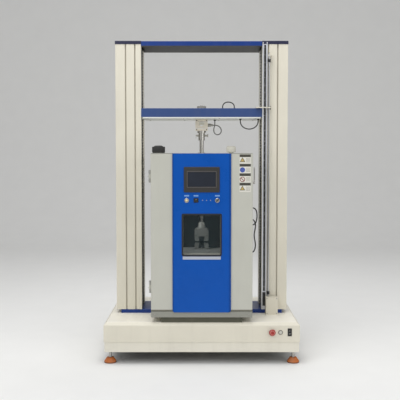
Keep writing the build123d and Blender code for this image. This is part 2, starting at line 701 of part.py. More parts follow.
with BuildPart() as lower_grip:
    with BuildSketch(grip_plane(-1)):
        with BuildLine():
            Polyline(
                (-half + 6.0, grip_mouth), (half - 6.0, grip_mouth), (half, grip_mouth + 10.0),
                (half, grip_top - 4.0), (half - 4.0, grip_top),
                (-half + 4.0, grip_top), (-half, grip_top - 4.0),
                (-half, grip_mouth + 10.0), close=True,
            )
        make_face()
        pocket_profile()
    extrude(amount=GRIP_BODY_D / 2, both=True)
    disc(
        0, 0, GRIP_MEET_Z - grip_top, GRIP_MEET_Z - grip_top + COLUMN_SEAT,
        COLUMN_ROD_R + RUN_FIT, mode=Mode.SUBTRACT,
    )

# Column that carries the lower grip, with a flange on the worktable.
FOOT_FLANGE_R = 60.0
with BuildPart() as lower_grip_column:
    disc(0, 0, TABLE_TOP, GRIP_MEET_Z - grip_top + COLUMN_SEAT, COLUMN_ROD_R)
    disc(0, 0, TABLE_TOP, TABLE_TOP + 8.0, FOOT_FLANGE_R)
    with BuildSketch(Plane.XY.offset(TABLE_TOP)):
        with PolarLocations(FOOT_FLANGE_R - 12.0, 4, start_angle=45):
            Circle(5.5)
    extrude(amount=8.0, mode=Mode.SUBTRACT)
save("lower_grip", lower_grip, lower_grip_column)

for level, up in (("upper", 1), ("lower", -1)):
    for side, sign in SIDES.items():
        with BuildPart() as jaw:
            with BuildSketch(grip_plane(up)):
                # Seen from the front, the turned-over plane keeps local X to the right or mirrors it.
                face_x = sign * up * JAW_GAP / 2
                foot_x = sign * up * jaw_foot
                head_x = sign * up * (jaw_foot + JAW_H * slope)
                low = grip_mouth + JAW_INSET
                root_x = face_x + sign * up * TOOTH_DEEP
                pitch = JAW_H / JAW_TEETH
                teeth = []
                for i in reversed(range(JAW_TEETH)):
                    teeth += [(root_x, low + (i + 0.5) * pitch), (face_x, low + i * pitch)]
                with BuildLine():
                    Polyline(
                        (foot_x, low), (head_x, low + JAW_H), (face_x, low + JAW_H), *teeth, close=True
                    )
                make_face()
            extrude(amount=JAW_D / 2, both=True)
        save(f"{level}_jaw_{side}", jaw)

# Arm on the crosshead, reaching in front of the right column, with a fork round the limit rod.
CHANNEL_X = COLUMN_IN + 17.0
CHANNEL_W = 32.0
CHANNEL_D = 8.0
LIMIT_X = COLUMN_IN + 43.0
LIMIT_Y = COLUMN_F - 22.0
LIMIT_R = 5.0
ARM_T = 6.0
ARM_W = 20.0
ARM_X = COLUMN_IN - 44.0
arm_back = COLUMN_F + 40.0
with BuildPart() as limit_arm:
    with BuildSketch(Plane.XY.offset(HEAD_TOP)):
        rect_between(ARM_X, LIMIT_Y - ARM_W / 2, ARM_X + 36.0, arm_back)
        rect_between(ARM_X, LIMIT_Y - ARM_W / 2, LIMIT_X + 14.0, LIMIT_Y + ARM_W / 2)
        rect_between(LIMIT_X - 14.0, COLUMN_F - CHANNEL_D - 1.0, LIMIT_X + 14.0, COLUMN_F + 1.0, mode=Mode.SUBTRACT)
        with Locations((LIMIT_X, LIMIT_Y)):
            Circle(LIMIT_R + 1.5, mode=Mode.SUBTRACT)
    extrude(amount=ARM_T)
    fillet(limit_arm.edges().filter_by(Axis.Z).group_by(Axis.X)[-1], 5.0)
save("limit_arm", limit_arm)

# Scale channel on the right column's front.
with BuildPart() as scale_channel:
    with BuildSketch(Plane.XY.offset(TABLE_TOP)):
        rect_between(CHANNEL_X - CHANNEL_W / 2, COLUMN_F - CHANNEL_D, CHANNEL_X + CHANNEL_W / 2, COLUMN_F)
        rect_between(
            CHANNEL_X - CHANNEL_W / 2 + 5.0, COLUMN_F - CHANNEL_D,
            CHANNEL_X + CHANNEL_W / 2 - 5.0, COLUMN_F - 2.0,
            mode=Mode.SUBTRACT,
        )
    extrude(amount=COLUMN_TOP - TABLE_TOP)

# Switch box at the column's foot, and the sprung limit rod with its two stop collars.
BOX_X = COLUMN_IN + 65.0
BOX_W = 80.0
BOX_D = 60.0
BOX_TOP = 388.0
BOX_WALL = 2.0
ROD_FOOT = 330.0
ROD_TOP = COLUMN_TOP - 73.0
COLLAR_R = 10.0
COLLAR_H = 20.0
UPPER_COLLAR_Z = ROD_TOP - 63.0
LOWER_COLLAR_Z = 402.0
box_front = COLUMN_F - BOX_D
with BuildPart() as limit_switch_box:
    box_between((BOX_X - BOX_W / 2, box_front, BASE_TOP), (BOX_X + BOX_W / 2, COLUMN_F - CHANNEL_D, BOX_TOP))
    fillet(limit_switch_box.edges().filter_by(Axis.Z).group_by(Axis.Y)[0], 3.0)
    offset(amount=-BOX_WALL, openings=limit_switch_box.faces().sort_by(Axis.Z)[0])
    disc(LIMIT_X, LIMIT_Y, BOX_TOP - BOX_WALL, BOX_TOP, LIMIT_R + FREE_GAP, mode=Mode.SUBTRACT)
save("limit_switch_box", limit_switch_box)
with BuildPart() as limit_rod:
    disc(LIMIT_X, LIMIT_Y, ROD_FOOT, ROD_TOP, LIMIT_R)
with BuildPart() as stop_collars:
    for z in (LOWER_COLLAR_Z, UPPER_COLLAR_Z):
        disc(LIMIT_X, LIMIT_Y, z, z + COLLAR_H, COLLAR_R, LIMIT_R + RUN_FIT)
save("limit_rod", limit_rod, stop_collars)
guide_top = ROD_TOP - 14.0
with BuildPart() as rod_guide:
    box_between((CHANNEL_X + CHANNEL_W / 2, COLUMN_F - 4.0, guide_top - 16.0), (LIMIT_X + 16.0, COLUMN_F, guide_top + 6.0))
    box_between(
        (LIMIT_X - 9.0, LIMIT_Y - 10.0, guide_top - 6.0), (LIMIT_X + 16.0, COLUMN_F, guide_top),
    )
    disc(LIMIT_X, LIMIT_Y, guide_top - 6.0, guide_top, LIMIT_R + FREE_GAP, mode=Mode.SUBTRACT)
save("scale_channel", scale_channel, rod_guide)

# Pleated bellows that close the columns' ways above and below the crosshead.
PLEAT = 20.0
PLEAT_D = 9.0
BELLOWS_T = 1.2
BELLOWS_X = COLUMN_IN + 1.0
way_mid = (PROFILE_BACK + WAY_END) / 2
way_w = WAY_END - PROFILE_BACK - 1.0


def bellows(low, high):
    """A pair of zigzag strips, one in each column, between two heights."""
    folds = max(2, round((high - low) / PLEAT))
    step = (high - low) / folds
    outer = [(BELLOWS_X, low)]
    for i in range(folds):
        outer.append((BELLOWS_X + PLEAT_D, low + (i + 0.5) * step))
        outer.append((BELLOWS_X, low + (i + 1) * step))
    inner = [(x + BELLOWS_T, z) for x, z in reversed(outer)]
    with BuildPart() as strips:
        with BuildSketch(front_plane(way_mid)) as zigzag:
            with BuildLine() as path:
                Polyline(*outer, *inner, close=True)
            make_face(path.line)
        extrude(zigzag.sketch, amount=way_w / 2, both=True)
        mirror(about=Plane.YZ)
    return strips


save("lower_bellows", bellows(TABLE_TOP, HEAD_LOW))
save("upper_bellows", bellows(HEAD_TOP, BEAM_LOW))

# Chamber casing: flat panels round the insulated box, and a kick panel below the door.
HALF_W = CH_W / 2
PANEL = 2.0
door_back = CH_FRONT + DOOR_T
jamb_front = door_back + SEAL_T
VENT_X = CH_W / 2 - 125.0
VENT_Y = -150.0
VENT_PIPE_R = 16.0
BUNG_X = -CH_W / 2 + 43.0
BUNG_Y = -300.0
BUNG_STEM_R = 19.0
FAN_Z = 1090.0
FAN_R = 64.0
FAN_SHAFT_R = 5.0
HEATER_R = 80.0
HEATER_TUBE_R = 4.0
LOUVRES = 12
with BuildPart() as casing_sides:
    for sign in SIDES.values():
        box_between(
            (sign * (HALF_W - PANEL), jamb_front, CH_LOW), (sign * HALF_W, CH_BACK, CH_TOP - PANEL)
        )
with BuildPart() as casing_top:
    box_between((-HALF_W, CH_FRONT, CH_TOP - PANEL), (HALF_W, CH_BACK, CH_TOP))
    disc(0, 0, CH_TOP - PANEL, CH_TOP, PORT_R, mode=Mode.SUBTRACT)
    disc(VENT_X, VENT_Y, CH_TOP - PANEL, CH_TOP, VENT_PIPE_R, mode=Mode.SUBTRACT)
    disc(BUNG_X, BUNG_Y, CH_TOP - PANEL, CH_TOP, BUNG_STEM_R + FREE_GAP, mode=Mode.SUBTRACT)
with BuildPart() as casing_bottom:
    box_between((-HALF_W + PANEL, jamb_front, CH_LOW), (HALF_W - PANEL, CH_BACK - PANEL, CH_LOW + PANEL))
    disc(0, 0, CH_LOW, CH_LOW + PANEL, PORT_R, mode=Mode.SUBTRACT)
with BuildPart() as casing_rear:
    box_between((-HALF_W + PANEL, CH_BACK - PANEL, CH_LOW), (HALF_W - PANEL, CH_BACK, CH_TOP - PANEL))
    with BuildSketch(front_plane(CH_BACK)):
        with Locations((0, FAN_Z)):
            with GridLocations(0, VENT_PITCH, 1, LOUVRES):
                SlotOverall(VENT_LEN, VENT_W)
    extrude(amount=PANEL, mode=Mode.SUBTRACT)
KICK_TOP = DOOR_LOW - 2.0
with BuildPart() as kick_panel:
    box_between((-HALF_W, CH_FRONT, CH_LOW), (HALF_W, jamb_front, KICK_TOP))
    fillet(kick_panel.edges().filter_by(Axis.X).group_by(Axis.Y)[0], 3.0)
    offset(amount=-PANEL, openings=kick_panel.faces().sort_by(Axis.Y)[-1])

# Stainless liner, the insulation round it, and the jamb that closes the gap at the front.
liner_half = LINER_W / 2
liner_front = jamb_front + JAMB_T
foam_back = LINER_BACK + FOAM_T
with BuildPart() as chamber_liner:
    box_between((-liner_half, liner_front, LINER_LOW), (liner_half, LINER_BACK, LINER_TOP))
    offset(amount=-LINER_T, openings=chamber_liner.faces().sort_by(Axis.Y)[0])
    disc(0, 0, LINER_LOW, LINER_TOP, PORT_R, mode=Mode.SUBTRACT)
    disc(VENT_X, VENT_Y, LINER_TOP - LINER_T, LINER_TOP, VENT_PIPE_R, mode=Mode.SUBTRACT)
    front_disc(0, FAN_Z, LINER_BACK - LINER_T, LINER_BACK, FAN_SHAFT_R + FREE_GAP, mode=Mode.SUBTRACT)
    for x in (-HEATER_R, HEATER_R):
        front_disc(x, FAN_Z, LINER_BACK - LINER_T, LINER_BACK, HEATER_TUBE_R + RUN_FIT, mode=Mode.SUBTRACT)
with BuildPart() as chamber_insulation:
    box_between(
        (-liner_half - FOAM_T, liner_front, LINER_LOW - FOAM_T),
        (liner_half + FOAM_T, foam_back, LINER_TOP + FOAM_T),
    )
    box_between((-liner_half, liner_front, LINER_LOW), (liner_half, LINER_BACK, LINER_TOP), mode=Mode.SUBTRACT)
    disc(0, 0, LINER_LOW - FOAM_T, LINER_TOP + FOAM_T, PORT_R, mode=Mode.SUBTRACT)
    disc(VENT_X, VENT_Y, LINER_TOP, LINER_TOP + FOAM_T, VENT_PIPE_R, mode=Mode.SUBTRACT)
    front_disc(0, FAN_Z, LINER_BACK, foam_back, FAN_SHAFT_R + FREE_GAP, mode=Mode.SUBTRACT)
    for x in (-HEATER_R, HEATER_R):
        front_disc(x, FAN_Z, LINER_BACK, foam_back, HEATER_TUBE_R + RUN_FIT, mode=Mode.SUBTRACT)
save("chamber_insulation", chamber_insulation)
with BuildPart() as door_jamb:
    box_between(
        (-HALF_W + PANEL, jamb_front, CH_LOW + PANEL), (HALF_W - PANEL, liner_front, CH_TOP - PANEL)
    )
    box_between(
        (-liner_half + LINER_T, jamb_front, LINER_LOW + LINER_T),
        (liner_half - LINER_T, liner_front, LINER_TOP - LINER_T),
        mode=Mode.SUBTRACT,
    )
SEAL_W = 22.0
SEAL_OFF = 6.0
with BuildPart() as door_gasket:
    with BuildSketch(front_plane(jamb_front)):
        with Locations((0, (LINER_LOW + LINER_TOP) / 2)):
            RectangleRounded(
                LINER_W + 2 * (SEAL_OFF + SEAL_W), LINER_TOP - LINER_LOW + 2 * (SEAL_OFF + SEAL_W), 24.0
            )
            RectangleRounded(
                LINER_W + 2 * SEAL_OFF, LINER_TOP - LINER_LOW + 2 * SEAL_OFF, 8.0, mode=Mode.SUBTRACT
            )
    extrude(amount=SEAL_T - FREE_GAP)

# Hinges: the frame's knuckles and pins stay on the casing, the middle knuckles turn with the door.
HINGE_X = -HALF_W - 9.0
HINGE_Y = door_back - 2.0
HINGE_Z = (490.0, 1200.0)
KNUCKLE_R = 8.0
HINGE_PIN_R = 4.0
KNUCKLE_MID = 13.0
KNUCKLE_END = 40.0
LEAF_T = 3.0
LEAF_LEN = 46.0
with BuildPart() as frame_hinges:
    for z in HINGE_Z:
        for low, high in ((z - KNUCKLE_END, z - KNUCKLE_MID), (z + KNUCKLE_MID, z + KNUCKLE_END)):
            disc(HINGE_X, HINGE_Y, low, high, KNUCKLE_R)
            box_between((-HALF_W - LEAF_T, HINGE_Y, low), (-HALF_W, HINGE_Y + LEAF_LEN, high))
        disc(HINGE_X, HINGE_Y, z - KNUCKLE_END, z + KNUCKLE_END, HINGE_PIN_R + RUN_FIT, mode=Mode.SUBTRACT)
with BuildPart() as hinge_pins:
    for z in HINGE_Z:
        disc(HINGE_X, HINGE_Y, z - KNUCKLE_END, z + KNUCKLE_END, HINGE_PIN_R)
save("door_jamb", door_jamb, door_gasket, frame_hinges, hinge_pins)

# Door: a hollow sheet door with a window tunnel, and its hinge leaves.
DOOR_SKIN = 2.0
WINDOW_SKIN = 3.0
hole_half = WIN_W / 2 - WIN_RIM
hole_low = WIN_LOW + WIN_RIM
hole_top = WIN_TOP - WIN_RIM
with BuildPart() as door_slab:
    box_between((-HALF_W, CH_FRONT, DOOR_LOW), (HALF_W, door_back, DOOR_TOP))
    fillet(door_slab.edges().filter_by(Axis.Z).group_by(Axis.Y)[0], 4.0)
    box_between(
        (-HALF_W + DOOR_SKIN, CH_FRONT + DOOR_SKIN, DOOR_LOW + DOOR_SKIN),
        (HALF_W - DOOR_SKIN, door_back - DOOR_SKIN, DOOR_TOP - DOOR_SKIN),
        mode=Mode.SUBTRACT,
    )
    box_between(
        (-hole_half - WINDOW_SKIN, CH_FRONT, hole_low - WINDOW_SKIN),
        (hole_half + WINDOW_SKIN, door_back, hole_top + WINDOW_SKIN),
    )
    box_between(
        (-hole_half, CH_FRONT, hole_low), (hole_half, door_back, hole_top), mode=Mode.SUBTRACT
    )
with BuildPart() as door_leaves:
    for z in HINGE_Z:
        low, high = z - KNUCKLE_MID + FREE_GAP, z + KNUCKLE_MID - FREE_GAP
        disc(HINGE_X, HINGE_Y, low, high, KNUCKLE_R)
        box_between((-HALF_W - LEAF_T, HINGE_Y - LEAF_LEN, low), (-HALF_W, HINGE_Y, high))
        disc(HINGE_X, HINGE_Y, low, high, HINGE_PIN_R + RUN_FIT, mode=Mode.SUBTRACT)
save("chamber_door", door_slab, door_leaves)

# Raised fascia on the door, with openings for the window and the door's controls.
BUTTON_X = -95.0
ROCKER_X = -36.0
SELECTOR_X = 98.0
LAMP_X = (5.0, 30.0, 55.0)
PANEL_Z = 1050.0
BUTTON_R = 9.7
SELECTOR_R = 7.7
HOLE_FIT = 0.3
ROCKER_W = 22.0
ROCKER_H = 17.0
ROCKER_ROOM = 1.3
BEZEL_T = 3.0
BEZEL_R = 14.5
LAMP_R = 2.0
PRESS = 3.0
fascia_front = CH_FRONT - FASCIA_T
WIN_CORNER = 10.0
win_z = (WIN_LOW + WIN_TOP) / 2
win_h = WIN_TOP - WIN_LOW
with BuildPart() as fascia:
    with BuildSketch(front_plane(CH_FRONT)):
        with Locations((0, (FASCIA_LOW + FASCIA_TOP) / 2)):
            Rectangle(FASCIA_W, FASCIA_TOP - FASCIA_LOW)
        with Locations((0, win_z)):
            RectangleRounded(WIN_W, win_h, WIN_CORNER, mode=Mode.SUBTRACT)
        with Locations((BUTTON_X, PANEL_Z)):
            Circle(BUTTON_R + HOLE_FIT, mode=Mode.SUBTRACT)
        with Locations((SELECTOR_X, PANEL_Z)):
            Circle(SELECTOR_R + HOLE_FIT, mode=Mode.SUBTRACT)
        with Locations((ROCKER_X, PANEL_Z)):
            Rectangle(ROCKER_W + 2 * HOLE_FIT, ROCKER_H + 2 * ROCKER_ROOM, mode=Mode.SUBTRACT)
    extrude(amount=FASCIA_T)
    corners = fascia.edges().filter_by(Axis.Y).group_by(Axis.Z)[0]
    fillet(corners, 14.0)
    fillet(fascia.faces().sort_by(Axis.Y)[0].outer_wire().edges(), 2.0)
save("fascia", fascia)

# Window: an outer pane in the fascia with a black frame over it, and an inner pane in the tunnel.
FRAME_OUT = 4.0
INNER_PANE_T = 5.0
with BuildPart() as window_glass:
    with BuildSketch(front_plane(CH_FRONT)):
        with Locations((0, win_z)):
            RectangleRounded(WIN_W - 2 * HOLE_FIT, win_h - 2 * HOLE_FIT, WIN_CORNER - HOLE_FIT)
    extrude(amount=GLASS_T)
    inner_back = door_back - 4.0
    box_between(
        (-hole_half + HOLE_FIT, inner_back - INNER_PANE_T, hole_low + HOLE_FIT),
        (hole_half - HOLE_FIT, inner_back, hole_top - HOLE_FIT),
    )
save("window_glass", window_glass)
with BuildPart() as window_frame:
    with BuildSketch(front_plane(CH_FRONT - GLASS_T)):
        with Locations((0, win_z)):
            RectangleRounded(WIN_W - 2 * HOLE_FIT, win_h - 2 * HOLE_FIT, WIN_CORNER - HOLE_FIT)
            RectangleRounded(2 * hole_half, hole_top - hole_low, 4.0, mode=Mode.SUBTRACT)
    extrude(amount=FRAME_OUT)
save("window_frame", window_frame)
SILL_LIP_H = 22.0
SILL_LIP_W = 240.0
SILL_OUT = 5.0
with BuildPart() as window_sill:
    with BuildSketch(Plane.YZ.offset(-SILL_LIP_W / 2)):
        with BuildLine():
            Polyline(
                (fascia_front, WIN_LOW - SILL_LIP_H), (fascia_front, WIN_LOW - 1.0),
                (fascia_front - SILL_OUT, WIN_LOW - 4.0),
                (fascia_front - 1.5, WIN_LOW - SILL_LIP_H), close=True,
            )
        make_face()
    extrude(amount=SILL_LIP_W)
save("window_sill", window_sill)

# Touch panel: a moulded bezel with its screen let in.
TOUCH_W = 226.0
TOUCH_LOW = 1100.0
TOUCH_TOP = 1260.0
TOUCH_T = 5.0
SCREEN_W = 176.0
SCREEN_LOW = 1136.0
SCREEN_TOP = 1228.0
SCREEN_DEEP = 2.0
with BuildPart() as touch_bezel:
    with BuildSketch(front_plane(fascia_front)):
        with Locations((0, (TOUCH_LOW + TOUCH_TOP) / 2)):
            RectangleRounded(TOUCH_W, TOUCH_TOP - TOUCH_LOW, 5.0)
        with Locations((0, (SCREEN_LOW + SCREEN_TOP) / 2)):
            Rectangle(SCREEN_W, SCREEN_TOP - SCREEN_LOW, mode=Mode.SUBTRACT)
    extrude(amount=TOUCH_T)
    chamfer(touch_bezel.faces().sort_by(Axis.Y)[0].outer_wire().edges(), 1.5)
with BuildPart() as touch_screen:
    box_between(
        (-SCREEN_W / 2, fascia_front - TOUCH_T + SCREEN_DEEP, SCREEN_LOW), (SCREEN_W / 2, fascia_front, SCREEN_TOP)
    )
save("touch_panel", touch_bezel, touch_screen)

# Door controls: fixed bezels and lamps, and the button, rocker and selector that move in them.
with BuildPart() as control_bezels:
    front_disc(BUTTON_X, PANEL_Z, fascia_front - BEZEL_T, fascia_front, BEZEL_R, BUTTON_R + HOLE_FIT)
    front_disc(SELECTOR_X, PANEL_Z, fascia_front - BEZEL_T, fascia_front, BEZEL_R, SELECTOR_R + HOLE_FIT)
    for x in LAMP_X:
        front_disc(x, PANEL_Z, fascia_front - BEZEL_T, fascia_front, LAMP_R)
    with BuildSketch(front_plane(fascia_front)):
        with Locations((ROCKER_X, PANEL_Z)):
            RectangleRounded(ROCKER_W + 8.0, ROCKER_H + 10.0, 2.0)
            Rectangle(ROCKER_W + 2 * HOLE_FIT, ROCKER_H + 2 * ROCKER_ROOM, mode=Mode.SUBTRACT)
    extrude(amount=BEZEL_T)
save("control_bezels", control_bezels)


def rocker_switch(x, z, face, width, height):
    """A rocker whose two halves slope up from its middle, turning about a pin behind its face."""
    with BuildPart() as rocker:
        with BuildSketch(Plane.YZ.offset(x - width / 2)) as side_view:
            with BuildLine() as outline:
                Polyline(
                    (face, z), (face - 3.0, z + height / 2), (face + 4.0, z + height / 2 - 1.0),
                    (face + 4.0, z - height / 2 + 1.0), (face - 3.0, z - height / 2), close=True,
                )
            make_face(outline.line)
        extrude(side_view.sketch, amount=width)
    return rocker


rocker_face = fascia_front - BEZEL_T + 1.0
save("door_rocker", rocker_switch(ROCKER_X, PANEL_Z, rocker_face, ROCKER_W, ROCKER_H))

BUTTON_OUT = 7.0
with BuildPart() as door_button:
    front_disc(BUTTON_X, PANEL_Z, fascia_front - BUTTON_OUT, CH_FRONT - PRESS - 1.0, BUTTON_R)
    fillet(door_button.faces().sort_by(Axis.Y)[0].edges(), 1.5)
save("door_button", door_button)

KNOB_R = 13.0
KNOB_H = 10.0
knob_back = fascia_front - BEZEL_T - FREE_GAP
with BuildPart() as door_selector:
    front_disc(SELECTOR_X, PANEL_Z, knob_back, CH_FRONT - 1.0, SELECTOR_R)
    front_disc(SELECTOR_X, PANEL_Z, knob_back - 3.0, knob_back, KNOB_R)
    with BuildSketch(front_plane(knob_back)):
        with Locations((SELECTOR_X, PANEL_Z)):
            Rectangle(7.0, 2 * KNOB_R - 2.0)
    extrude(amount=KNOB_H)
save("door_selector", door_selector)

# Side latch lever on the door's free edge.
LATCH_Z = 1165.0
LATCH_Y = -405.0
LATCH_T = 6.0
LATCH_LEN = 85.0
LATCH_BOSS_R = 13.0
with BuildPart() as door_latch:
    with BuildSketch(Plane.YZ.offset(HALF_W + FREE_GAP)):
        with Locations((LATCH_Y, LATCH_Z)):
            Circle(LATCH_BOSS_R)
    extrude(amount=8.0)
    with BuildSketch(Plane.YZ.offset(HALF_W + FREE_GAP + 8.0)):
        with Locations((LATCH_Y, LATCH_Z + LATCH_LEN / 2)):
            SlotCenterToCenter(LATCH_LEN, 2 * LATCH_BOSS_R - 6.0, rotation=90)
        with Locations((LATCH_Y, LATCH_Z)):
            Circle(LATCH_BOSS_R)
    extrude(amount=LATCH_T)
save("door_latch", door_latch)

# Air path inside the chamber: a guide floor with a cut-out for the grip, and a rear baffle tray.
GUIDE_Z = 690.0
GUIDE_T = 1.5
GUIDE_HALF = liner_half - LINER_T - 2.0
GUIDE_FRONT = liner_front + 8.0
BAFFLE_Y = 66.0
CUT_W = 124.0
CUT_D = 84.0
INLET_R = 46.0
OUTLET_UP = 120.0
OUTLET_LEN = 44.0
OUTLET_W = 8.0
floor_z = LINER_LOW + LINER_T
with BuildPart() as air_guides:
    box_between((-GUIDE_HALF, GUIDE_FRONT, GUIDE_Z - GUIDE_T), (GUIDE_HALF, BAFFLE_Y - 1.0, GUIDE_Z))
    box_between((-CUT_W / 2, -CUT_D / 2, GUIDE_Z - GUIDE_T), (CUT_W / 2, CUT_D / 2, GUIDE_Z), mode=Mode.SUBTRACT)
    for sign in SIDES.values():
        box_between(
            (sign * (GUIDE_HALF - GUIDE_T), GUIDE_FRONT, floor_z), (sign * GUIDE_HALF, BAFFLE_Y - 1.0, GUIDE_Z)
        )
with BuildPart() as rear_baffle:
    box_between((-GUIDE_HALF, BAFFLE_Y, floor_z), (GUIDE_HALF, LINER_BACK - LINER_T, LINER_TOP - LINER_T - 2.0))
    offset(amount=-GUIDE_T, openings=rear_baffle.faces().sort_by(Axis.Y)[-1])
    front_disc(0, FAN_Z, BAFFLE_Y, BAFFLE_Y + GUIDE_T, INLET_R, mode=Mode.SUBTRACT)
    with BuildSketch(front_plane(BAFFLE_Y + GUIDE_T)):
        with Locations((0, LINER_LOW + OUTLET_UP)):
            with GridLocations(OUTLET_LEN + 20.0, 3 * OUTLET_W, 5, 2):
                SlotOverall(OUTLET_LEN, OUTLET_W)
    extrude(amount=GUIDE_T, mode=Mode.SUBTRACT)

# Circulation fan behind the baffle, driven through the insulation, with the heater round it.
FAN_BLADES = 8
FAN_DEEP = 18.0
fan_front = BAFFLE_Y + GUIDE_T + 5.0
motor_front = foam_back
FAN_MOTOR_R = 42.0
with BuildPart() as fan_wheel:
    front_disc(0, FAN_Z, fan_front + FAN_DEEP - 1.5, fan_front + FAN_DEEP, FAN_R)
    front_disc(0, FAN_Z, fan_front, fan_front + FAN_DEEP, 12.0)
    with BuildSketch(front_plane(fan_front + FAN_DEEP)):
        with Locations((0, FAN_Z)):
            with PolarLocations((FAN_R + 20.0) / 2, FAN_BLADES):
                Rectangle(FAN_R - 22.0, 2.0)
    extrude(amount=FAN_DEEP)
    front_disc(0, FAN_Z, fan_front, motor_front + 30.0, FAN_SHAFT_R)
save("fan_wheel", fan_wheel)
with BuildPart() as fan_motor:
    front_disc(0, FAN_Z, motor_front, motor_front + 6.0, FAN_MOTOR_R + 12.0)
    front_disc(0, FAN_Z, motor_front, CH_BACK - PANEL - 6.0, FAN_MOTOR_R)
    front_disc(0, FAN_Z, motor_front, motor_front + 34.0, FAN_SHAFT_R + RUN_FIT, mode=Mode.SUBTRACT)
    with BuildSketch(front_plane(CH_BACK - PANEL - 6.0)):
        with Locations((0, FAN_Z)):
            with PolarLocations(FAN_MOTOR_R, 20):
                Rectangle(5.0, 3.0)
    extrude(amount=60.0, mode=Mode.SUBTRACT)
save("fan_motor", fan_motor)
heater_y = fan_front + FAN_DEEP / 2
with BuildPart() as heater_ring:
    with Locations(Location((0, heater_y, FAN_Z), (90, 0, 0))):
        Torus(HEATER_R, HEATER_TUBE_R)
    for x in (-HEATER_R, HEATER_R):
        front_disc(x, FAN_Z, heater_y, foam_back + 12.0, HEATER_TUBE_R)
save("air_guides", air_guides, rear_baffle, heater_ring)

# Rod collars in the chamber's top and bottom, and the ribbed relief vent.
COLLAR_FLANGE_R = 36.0
COLLAR_FLANGE_H = 5.0
VENT_CAP_R = 28.0
VENT_CAP_H = 40.0
VENT_STEM_H = 8.0
with BuildPart() as upper_collar:
    disc(0, 0, LINER_TOP - LINER_T, CH_TOP + COLLAR_FLANGE_H, PORT_R - RUN_FIT, ROD_R + FREE_GAP)
    disc(0, 0, CH_TOP, CH_TOP + COLLAR_FLANGE_H, COLLAR_FLANGE_R, ROD_R + FREE_GAP)
with BuildPart() as lower_collar:
    disc(0, 0, CH_LOW, floor_z, PORT_R - RUN_FIT, COLUMN_ROD_R + FREE_GAP)
with BuildPart() as relief_vent:
    disc(VENT_X, VENT_Y, LINER_TOP - LINER_T, CH_TOP + VENT_STEM_H, VENT_PIPE_R - RUN_FIT, VENT_PIPE_R - 3.0)
    disc(VENT_X, VENT_Y, CH_TOP + VENT_STEM_H, CH_TOP + VENT_STEM_H + VENT_CAP_H, VENT_CAP_R)
    for i in range(4):
        z = CH_TOP + VENT_STEM_H + (i + 0.7) * VENT_CAP_H / 4
        disc(VENT_X, VENT_Y, z, z + 4.0, VENT_CAP_R + 1.0, VENT_CAP_R - 3.0, mode=Mode.SUBTRACT)
save("chamber_liner", chamber_liner, upper_collar, lower_collar, relief_vent)

# Black cable bung pushed into the casing's top.
BUNG_R = 39.0
BUNG_H = 50.0
BUNG_STEM = 22.0
with BuildPart() as cable_bung:
    with BuildSketch(Plane(origin=(BUNG_X, BUNG_Y, CH_TOP), x_dir=(1, 0, 0), z_dir=(0, -1, 0))):
        with BuildLine():
            Polyline(
                (0, -BUNG_STEM), (BUNG_STEM_R - 2.0, -BUNG_STEM), (BUNG_STEM_R, -BUNG_STEM + 4.0),
                (BUNG_STEM_R, 0), (BUNG_R, 0), (BUNG_R, BUNG_H - 26.0),
            )
            RadiusArc((BUNG_R, BUNG_H - 26.0), (BUNG_R - 20.0, BUNG_H), -26.0)
            Polyline((BUNG_R - 20.0, BUNG_H), (0, BUNG_H), (0, -BUNG_STEM))
        make_face()
    revolve(axis=Axis((BUNG_X, BUNG_Y, 0), (0, 0, 1)))
save("cable_bung", cable_bung)

# Dark plinth bars that carry the chamber over the worktable.
BAR_HALF = 258.0
BAR_W = 56.0
BAR_BACK = 232.0
BAR_FRONT = CH_FRONT + 14.0
BAR_WALL = 4.0
with BuildPart() as chamber_plinth:
    for sign in SIDES.values():
        box_between((sign * (BAR_HALF - BAR_W), BAR_FRONT, BASE_TOP), (sign * BAR_HALF, BAR_BACK, CH_LOW))
    box_between((-BAR_HALF, BAR_FRONT, BASE_TOP), (BAR_HALF, BAR_FRONT + BAR_W, CH_LOW))
    box_between((-BAR_HALF, BAR_BACK - BAR_W, BASE_TOP), (BAR_HALF, BAR_BACK, CH_LOW))
    box_between(
        (-BAR_HALF, COLUMN_F - FREE_GAP, BASE_TOP), (BAR_HALF, COLUMN_B + FREE_GAP, TABLE_TOP),
        mode=Mode.SUBTRACT,
    )
    for sign in SIDES.values():
        for y0, y1 in ((BAR_FRONT + BAR_WALL, COLUMN_F - BAR_WALL), (COLUMN_B + BAR_WALL, BAR_BACK - BAR_WALL)):
            box_between(
                (sign * (BAR_HALF - BAR_W + BAR_WALL), y0, BASE_TOP),
                (sign * (BAR_HALF - BAR_WALL), y1, CH_LOW - BAR_WALL),
                mode=Mode.SUBTRACT,
            )
save("chamber_plinth", chamber_plinth)

